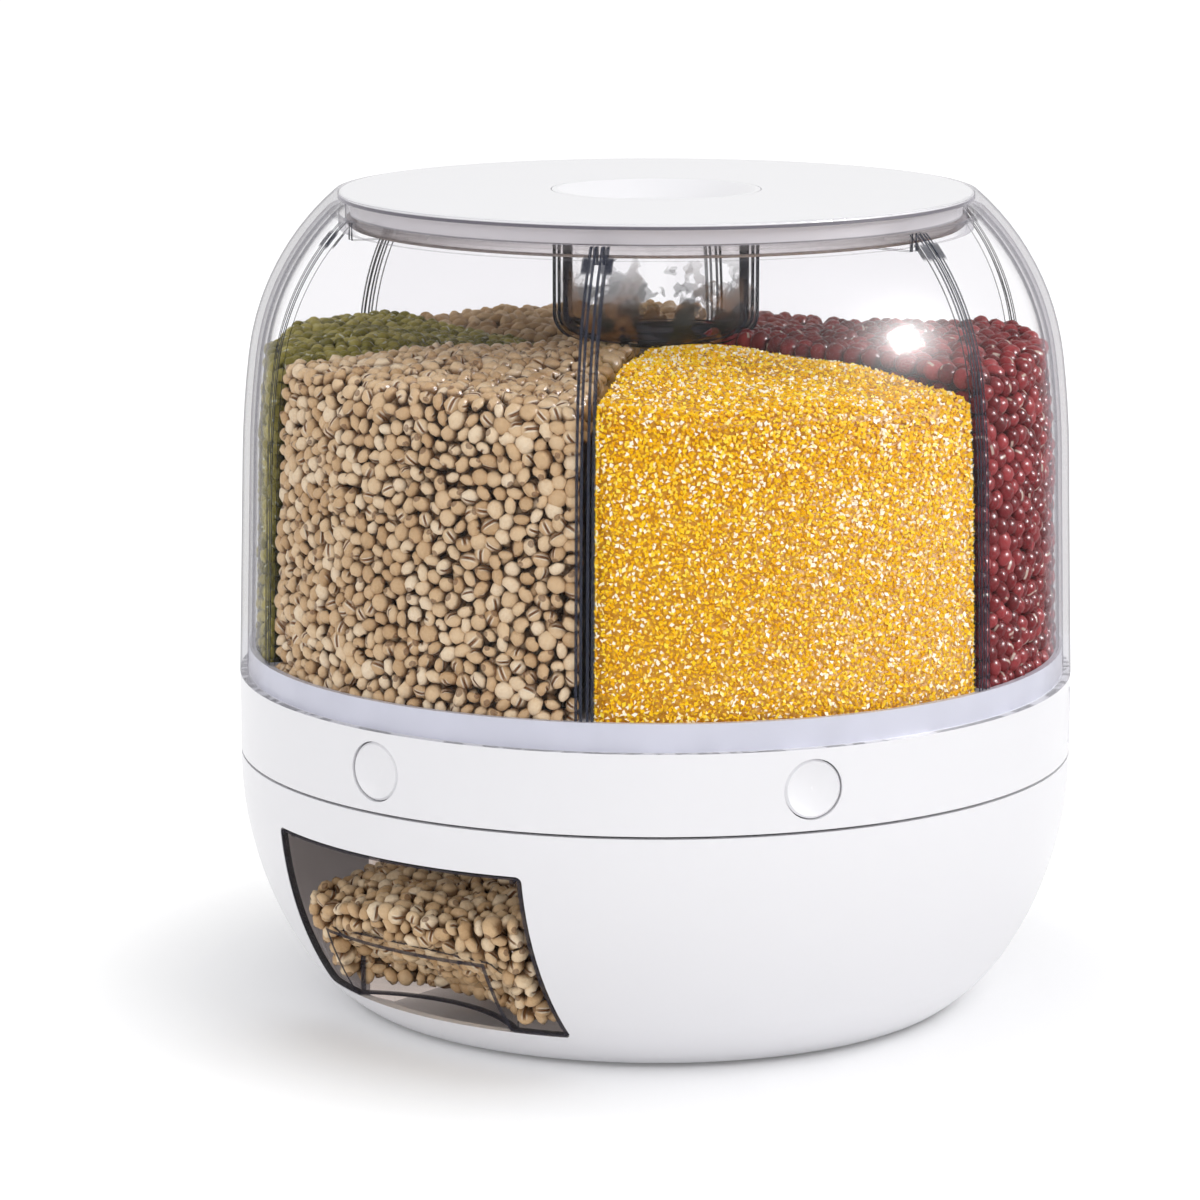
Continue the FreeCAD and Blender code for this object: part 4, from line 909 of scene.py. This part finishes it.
def layer(room, radius, depth, fill, rng, rounds):
    """Places of kernels side by side at one depth behind the surfaces that show."""
    spans = np.array(room.box(), float)
    trial = rng.uniform(spans[:, 0], spans[:, 1], (200000, 3))
    near = room.inside(trial, 0) & (abs(room.hidden(trial) - depth) < 1)
    area = near.mean() * np.prod(spans[:, 1] - spans[:, 0]) / 2
    count = int(area * fill / (math.pi * radius ** 2))
    p = trial[near][:count]
    target = depth + rng.uniform(-0.2, 0.2, len(p)) * radius
    for _ in range(rounds):
        spread_out(p, radius * 2.1)
        p -= inwards(room, p) * (room.hidden(p) - target)[:, None]
        p = room.held(p, radius * 0.8)
    return p


def packed(room, radius, rng):
    """Places of the two outer layers of kernels in a heap."""
    rounds = 30
    return np.concatenate([layer(room, radius, radius * 0.95, 1.05, rng, rounds),
                           layer(room, radius, radius * 2.2, 0.9, rng, rounds // 2)])


def sprinkled(room, radius, rng):
    """Places of very small chips in one even layer on the surfaces that show."""
    spacing = radius * 1.55
    rise = spacing * 0.87
    wall_radius = 134
    arc = np.arange(-HALF_STEP, HALF_STEP, spacing / wall_radius)
    rows = []
    for row, z in enumerate(np.arange(room.FLOOR + 1, room.crest, rise)):
        turns = arc + (row % 2) * spacing / (2 * wall_radius)
        r = room.PROBE + room.outer(np.array([[room.PROBE, 0, z]]))[0][0]
        rows.append(np.stack([r * np.cos(turns), r * np.sin(turns), np.full(len(turns), z)], 1))
    grid = np.arange(-75, 140, spacing)
    u, v = np.meshgrid(grid, grid)
    u[::2] += spacing / 2
    flat = np.stack([u.ravel(), v.ravel()], 1)
    top = np.column_stack([flat, room.top(flat)])
    s, c = math.sin(HALF_STEP), math.cos(HALF_STEP)
    along, level = np.meshgrid(np.arange(16, 136, spacing), np.arange(room.levels[0], room.crest, rise))
    side = np.stack([along.ravel() * c, along.ravel() * s, level.ravel()], 1)
    upright = np.concatenate(rows + [side, side * (1, -1, 1)])
    upright = upright[upright[:, 2] < room.top(upright) - radius * 0.4]
    top = top[room.inside(top - (0, 0, radius), radius * 0.5)]
    chips = np.concatenate([upright, top])
    chips += rng.normal(0, radius * 0.28, chips.shape)
    chips = room.held(chips, radius * 0.8)
    return chips[room.hidden(chips) < radius * 2.2]


def core(room, name, inset, finish):
    """The heap behind the outer kernels, closed all round."""
    middle = np.array([78.0, 0.0])
    foot = room.ring(130, inset)
    rings = []
    for share in (0.0, 0.35, 0.7):
        flat = middle + (foot - middle) * share
        rings.append(np.column_stack([flat, room.floor(flat) + inset]))
    for level in np.linspace(0, 1, 9):
        flat = foot
        for _ in range(3):
            low = room.floor(flat) + inset
            z = low + (room.top(flat) - inset - low) * level
            flat = room.ring(float(z.mean()), inset)
        rings.append(np.column_stack([flat, z]))
    rim = rings[-1][:, :2]
    for share in (0.85, 0.7, 0.55, 0.4, 0.2, 0.0):
        flat = middle + (rim - middle) * share
        rings.append(np.column_stack([flat, room.top(flat) - inset]))
    around = len(foot)
    faces = [(row * around + i, row * around + (i + 1) % around, (row + 1) * around + (i + 1) % around,
              (row + 1) * around + i) for row in range(len(rings) - 1) for i in range(around)]
    piece = mesh_piece(name, room.world(np.concatenate(rings)), np.array(faces), finish)
    choose(piece)
    welded(0.00001)
    return piece


# Operators, one for each group of pieces

class DISPENSER_OT_stage(bpy.types.Operator):
    """White floor, soft lamps and the camera"""
    bl_idname = "dispenser.stage"
    bl_label = "Stage"

    def execute(self, context):
        scene = context.scene
        studio = scene.dispenser_studio
        scene.view_settings.view_transform = "Standard"
        scene.cycles.transparent_max_bounces = 40
        self.floor()
        self.world(scene, studio)
        right = Vector((math.cos(studio.turn), math.sin(studio.turn), 0))
        front = Vector((math.sin(studio.turn), -math.cos(studio.turn), 0))
        # Name, way to the right, way to the front, height, power and size
        for name, aside, ahead, height, watts, size in (
                ("key_lamp", 1.3, 0.9, 1.5, studio.key, 1.4),
                ("fill_lamp", -1.5, 0.9, 0.9, studio.fill, 1.4),
                ("top_lamp", 0, -0.2, 1.7, studio.fill * 0.15, 1.2),
                ("front_lamp", 0.3, 1.7, 0.4, studio.front, 1.0)):
            lamp = self.lamp(name, right * aside + front * ahead + Vector((0, 0, height)), watts, size)
            lamp.visible_glossy = name != "front_lamp"
        self.camera(scene, studio)
        self.spark(studio)
        return {"FINISHED"}

    def spark(self, studio):
        """A small lamp where the dome mirrors it at the spot of the photograph's glare, and a dimmer one round it."""
        eye = Vector(studio.camera)
        spot = Vector(studio.glint)
        sideways = Vector((spot.x, spot.y, 0))
        middle = sideways.normalized() * CROWN_RADIUS * MM + Vector((0, 0, CROWN_HEIGHT * MM))
        outwards = (spot - middle).normalized()
        ray = (spot - eye).normalized()
        mirrored = ray - outwards * 2 * ray.dot(outwards)
        for name, watts, size in (("spark_lamp", studio.spark, 0.10), ("spark_glow", studio.spark * 0.5, 0.22)):
            self.lamp(name, spot + mirrored * (1.2 + size), watts, size, spot).visible_diffuse = False

    def floor(self):
        """A floor that takes shadows near the object and melts into the white further away."""
        deselect()
        bpy.ops.mesh.primitive_plane_add(size=60)
        floor = bpy.context.object
        floor.name = "floor"
        make = Finish("floor")
        seen = make.node("LightPath", output="Is Camera Ray")
        away = make.node("VectorMath", {"operation": "LENGTH"}, {0: make.place()}, "Value")
        share = (seen + seen.out("Is Glossy Ray")) * away.smooth(0.12, 0.24, 0.06, 0.45)
        floor.data.materials.append(make.done(make.mixed(
            share, make.node("BsdfDiffuse", None, {"Color": (0.88, 0.88, 0.89)}),
            make.node("Emission", None, {"Color": (1, 1, 1), "Strength": 1.6}))))

    def world(self, scene, studio):
        """White surroundings, a little dimmer as light than as seen."""
        make = Finish("studio", world=True)
        path = make.node("LightPath", output="Is Camera Ray")
        seen = path.highest(path.out("Is Glossy Ray").highest(path.out("Is Transmission Ray")))
        glow = make.node("MapRange", None, {"Value": seen, "To Min": studio.ambient, "To Max": 1.0})
        scene.world = make.done(make.node("Background", None, {"Color": (1, 1, 1), "Strength": glow}))

    def lamp(self, name, where, watts, size, aim=(0, 0, 0.13)):
        deselect()
        bpy.ops.object.light_add(type="AREA", location=where)
        lamp = bpy.context.object
        lamp.name = name
        lamp.data.energy = watts
        lamp.data.size = size
        lamp.rotation_mode = "QUATERNION"
        lamp.rotation_quaternion = (Vector(aim) - Vector(where)).to_track_quat("-Z", "Y")
        return lamp

    def camera(self, scene, studio):
        deselect()
        bpy.ops.object.camera_add(location=studio.camera)
        camera = bpy.context.object
        camera.name = "camera"
        turn, pitch = studio.turn, studio.pitch
        forward = Vector((-math.sin(turn) * math.cos(pitch), math.cos(turn) * math.cos(pitch), -math.sin(pitch)))
        camera.rotation_mode = "QUATERNION"
        camera.rotation_quaternion = forward.to_track_quat("-Z", "Y")
        camera.data.sensor_width = 36
        camera.data.lens = studio.lens
        camera.data.clip_start = 0.05
        camera.data.clip_end = 100
        scene.camera = camera


class DISPENSER_OT_body(bpy.types.Operator):
    """White outside, clear dome and bins, and the parts between them"""
    bl_idname = "dispenser.body"
    bl_label = "Body"

    def execute(self, context):
        looks = context.scene.dispenser_finishes
        edge, veil = looks.edge, looks.veil
        finishes = {
            white_plastic("white_gloss", looks.white): ["base_bowl", "button_ring", "lid_dish"] + numbered("button"),
            lid_plastic("lid_gloss", looks.lid, looks.skirt, looks.line): ["lid_cover"],
            clear_plastic("shell_gloss", edge, veil, veil=0.3, halo=0.004): ["outer_shell"],
            clear_plastic("bin_gloss", edge, veil, lines=wall_lines): numbered("grain_bin"),
            clear_plastic("clear_gloss", edge, veil, veil=0.2, lines=box_lines): ["tray_box"],
            clear_plastic("column_gloss", looks.post, veil, (0.30, 0.90), 0.5, body=(0.90, 0.89, 0.88)):
                ["center_post"],
            clear_plastic("cup_gloss", edge, veil, lines=cup_lines, painted_reflections=cup_painted_reflections): ["center_cup"],
            clear_plastic("smoky_gloss", looks.smoke, veil, body=(0.975, 0.97, 0.965), lines=front_lines):
                ["tray_front"],
            clear_plastic("seal_silicone", looks.seal, veil, body=(0.86, 0.84, 0.84), lines=seal_lines): ["lid_seal"],
            moulded_plastic("deck_plastic", looks.deck, 0.32): ["grain_deck"],
            moulded_plastic("bore_plastic", looks.bore, 0.2): numbered("button_sleeve"),
            moulded_plastic("working_plastic", looks.gate, 0.42):
                ["chute_plate", "base_deck"] + numbered("slide_gate"),
            # The tray bay gets a painted glow that brightens its shade
            moulded_plastic("bay_plastic", looks.bay, 0.45, glow=0.44): ["tray_bay"],
            moulded_plastic("cage_nylon", looks.cage, 0.4): ["ball_cage", "rotor_bush"],
            brushed_metal("screw_zinc", looks.steel, 0.25):
                ["base_screws", "rotor_screws", "spindle_bolt", "spindle_nut", "spindle_washer"],
            brushed_metal("ball_steel", looks.steel, 0.06): ["bearing_balls"],
            rubber("foot_rubber", looks.foot): ["rubber_feet"],
        }
        for finish, nodes in finishes.items():
            for node in nodes:
                finish_node(node, finish)
        return {"FINISHED"}


class DISPENSER_OT_springs(bpy.types.Operator):
    """Return springs behind the buttons, wound from wire with closed ends"""
    bl_idname = "dispenser.springs"
    bl_label = "Return springs"

    # Distances of the spring's ends from the axis, its level, its radius, the wire's radius and the button's travel,
    # all in millimetres, and the open turns
    SEAT = 66.1
    GATE = 91.9
    LEVEL = 98.0
    COIL = 3.6
    WIRE = 0.4
    TRAVEL = 13.0
    TURNS = 8

    def execute(self, context):
        finish = brushed_metal("spring_wire", context.scene.dispenser_finishes.steel, 0.2)
        for index in SIX:
            self.spring(index, finish)
        return {"FINISHED"}

    def coil(self, low, pitch, turns):
        """Part of the spring, along Z."""
        deselect()
        bpy.ops.mesh.primitive_circle_add(vertices=10, radius=self.WIRE * MM, rotation=(math.pi / 2, 0, 0),
                                          location=(self.COIL * MM, 0, low * MM), fill_type="NOTHING")
        part = bpy.context.object
        bpy.ops.object.transform_apply()
        winding = part.modifiers.new("winding", "SCREW")
        winding.screw_offset = pitch * MM
        winding.iterations = turns
        winding.steps = 28
        winding.render_steps = 28
        winding.use_merge_vertices = False
        bpy.ops.object.modifier_apply(modifier="winding")
        return part

    def spring(self, index, finish):
        """One spring in its place."""
        closed = 2.1 * self.WIRE
        length = self.GATE - self.SEAT
        start = self.WIRE
        wire = joined("spring", self.coil(start + closed, (length - 2 * (closed + start)) / self.TURNS, self.TURNS),
                      self.coil(start, closed, 1), self.coil(length - start - closed, closed, 1))
        welded(0.00002, sides=12)
        bpy.ops.object.shade_smooth_by_angle(angle=math.radians(50))
        turn = STEP * (index - 1)
        outwards = Vector((math.sin(turn), -math.cos(turn), 0))
        wire.rotation_mode = "QUATERNION"
        wire.rotation_quaternion = outwards.to_track_quat("Z", "X")
        wire.location = outwards * self.SEAT * MM + Vector((0, 0, self.LEVEL * MM))
        bpy.ops.object.transform_apply()
        node = "return_spring_{}".format(index)
        wire.name = node + "_wire"
        wire.data.name = wire.name
        wire.data.materials.append(finish)
        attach(wire, "rotor")
        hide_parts(node)
        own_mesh(wire)


# One grain: kind of kernel and its radius; level of the heap's crest, place of its peak and its slopes outwards,
# inwards, right and left; levels from which the right and left sides show; spread and swell of the kernels' sizes
Grain = collections.namedtuple("Grain", "kind radius crest peak falls levels spread swell",
                               defaults=(None, None, None, 0.12, 1.07))
GRAINS = {
    1: Grain("tear", 2.72, 226, (70, 0), (0.10, 0.05, 0.12, 0.02), (205, 205), 0.22, 1.17),
    2: Grain("chip", 0.86, 226, (58, -10), (0.15, 0.10, 0.10, 0.05), (205, 205)),
    3: Grain("round", 3.3, 227, (60, 0), (0.06, 0.05, 0.05, 0.05), (200, 200)),
    4: Grain("bean", 3.6, 219, (60, 0), (0.06, 0.05, 0.05, 0.05), (195, 195)),
    5: Grain("flake", 3.4, 221, (90, 0), (0.06, 0.05, 0.05, 0.05), (190, 190)),
    6: Grain("round", 2.5, 224, (105, 0), (0.06, 0.15, 0.05, 0.05), (200, 200)),
}
TRAY_GRAIN = Grain("tear", 2.85, 60, spread=0.22, swell=1.15)
CREAM = [(0.0, (0.50, 0.31, 0.15)), (0.35, (0.67, 0.46, 0.26)), (0.7, (0.78, 0.58, 0.36)), (1.0, (0.94, 0.80, 0.60))]
YELLOW = [(0.0, (0.80, 0.42, 0.0)), (0.5, (0.90, 0.60, 0.01)), (0.76, (0.92, 0.74, 0.07)), (0.83, (0.97, 0.93, 0.76))]
RED = [(0.0, (0.115, 0.007, 0.009)), (0.5, (0.215, 0.014, 0.018)), (1.0, (0.42, 0.055, 0.060))]
MAROON = [(0.0, (0.130, 0.012, 0.011)), (0.5, (0.230, 0.024, 0.018)), (1.0, (0.350, 0.055, 0.038))]
TAN = [(0.0, (0.42, 0.26, 0.12)), (0.5, (0.56, 0.38, 0.20)), (1.0, (0.68, 0.50, 0.30))]
GREEN = [(0.0, (0.110, 0.100, 0.014)), (0.5, (0.290, 0.250, 0.050)), (1.0, (0.470, 0.405, 0.120))]


class DISPENSER_OT_grain(bpy.types.Operator):
    """Six kinds of grain in the bins, each kernel resting on its neighbours"""
    bl_idname = "dispenser.grain"
    bl_label = "Grain in the bins"

    def execute(self, context):
        # Kernel finish and core finish of each bin; the core's colours are painted dark for the shade between kernels
        finishes = {
            1: (tears_finish(), core_finish("barley_core", (0.10, 0.05, 0.02), (0.42, 0.31, 0.19), 0.006)),
            2: (chip_finish("corn_grits", YELLOW),
                core_finish("grits_core", (0.60, 0.26, 0.0), (0.95, 0.54, 0.01), 0.0018)),
            3: (bean_finish("adzuki", RED, (0.62, 0.50, 0.42)),
                core_finish("adzuki_core", (0.01, 0.0, 0.0), (0.07, 0.006, 0.006), 0.006)),
            4: (bean_finish("red_beans", MAROON, (0.55, 0.40, 0.32)),
                core_finish("bean_core", (0.01, 0.0, 0.0), (0.09, 0.01, 0.008), 0.007)),
            5: (bean_finish("buckwheat", TAN, (0.30, 0.17, 0.08), 0.4),
                core_finish("tan_core", (0.08, 0.04, 0.02), (0.34, 0.22, 0.11), 0.006)),
            6: (bean_finish("mung", GREEN, (0.60, 0.60, 0.45), 0.35),
                core_finish("mung_core", (0.01, 0.015, 0.0), (0.07, 0.085, 0.012), 0.005)),
        }
        for index, grain in GRAINS.items():
            rng = np.random.default_rng(40 + index)
            room = Bin(index, grain)
            name = "grain_{}".format(index)
            if grain.kind == "chip":
                places = sprinkled(room, grain.radius, rng)
                inset = grain.radius * 0.6
            else:
                places = packed(room, grain.radius, rng)
                inset = grain.radius * 2.6
            kernels, middle = finishes[index]
            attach(scattered(name, grain, room, places, rng, kernels), "rotor")
            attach(core(room, name + "_core", inset, middle), "rotor")
        return {"FINISHED"}


class DISPENSER_OT_tray_grain(bpy.types.Operator):
    """Grain that has fallen into the tray"""
    bl_idname = "dispenser.tray_grain"
    bl_label = "Grain in the tray"

    def execute(self, context):
        rng = np.random.default_rng(71)
        room = Tray(TRAY_GRAIN)
        places = packed(room, TRAY_GRAIN.radius, rng)
        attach(scattered("tray_grain", TRAY_GRAIN, room, places, rng, bpy.data.materials["job_tears"]), "tray")
        return {"FINISHED"}


class DISPENSER_PT_panel(bpy.types.Panel):
    """The dispenser's steps and settings"""
    bl_idname = "DISPENSER_PT_panel"
    bl_label = "Grain dispenser"
    bl_space_type = "VIEW_3D"
    bl_region_type = "UI"
    bl_category = "Dispenser"

    def draw(self, context):
        layout = self.layout
        for step in STEPS:
            layout.operator(step.bl_idname)
        for settings in (context.scene.dispenser_finishes, context.scene.dispenser_studio):
            box = layout.box()
            for name in settings.__annotations__:
                box.prop(settings, name)


STEPS = (DISPENSER_OT_stage, DISPENSER_OT_body, DISPENSER_OT_springs, DISPENSER_OT_grain, DISPENSER_OT_tray_grain)
CLASSES = (DispenserFinishes, StudioSettings) + STEPS + (DISPENSER_PT_panel,)


def register():
    for item in CLASSES:
        bpy.utils.register_class(item)
    bpy.types.Scene.dispenser_finishes = bpy.props.PointerProperty(type=DispenserFinishes)
    bpy.types.Scene.dispenser_studio = bpy.props.PointerProperty(type=StudioSettings)


def unregister():
    del bpy.types.Scene.dispenser_studio
    del bpy.types.Scene.dispenser_finishes
    for item in reversed(CLASSES):
        bpy.utils.unregister_class(item)


def main():
    register()
    for step in STEPS:
        group, name = step.bl_idname.split(".")
        getattr(getattr(bpy.ops, group), name)()


if __name__ == "__main__":
    main()
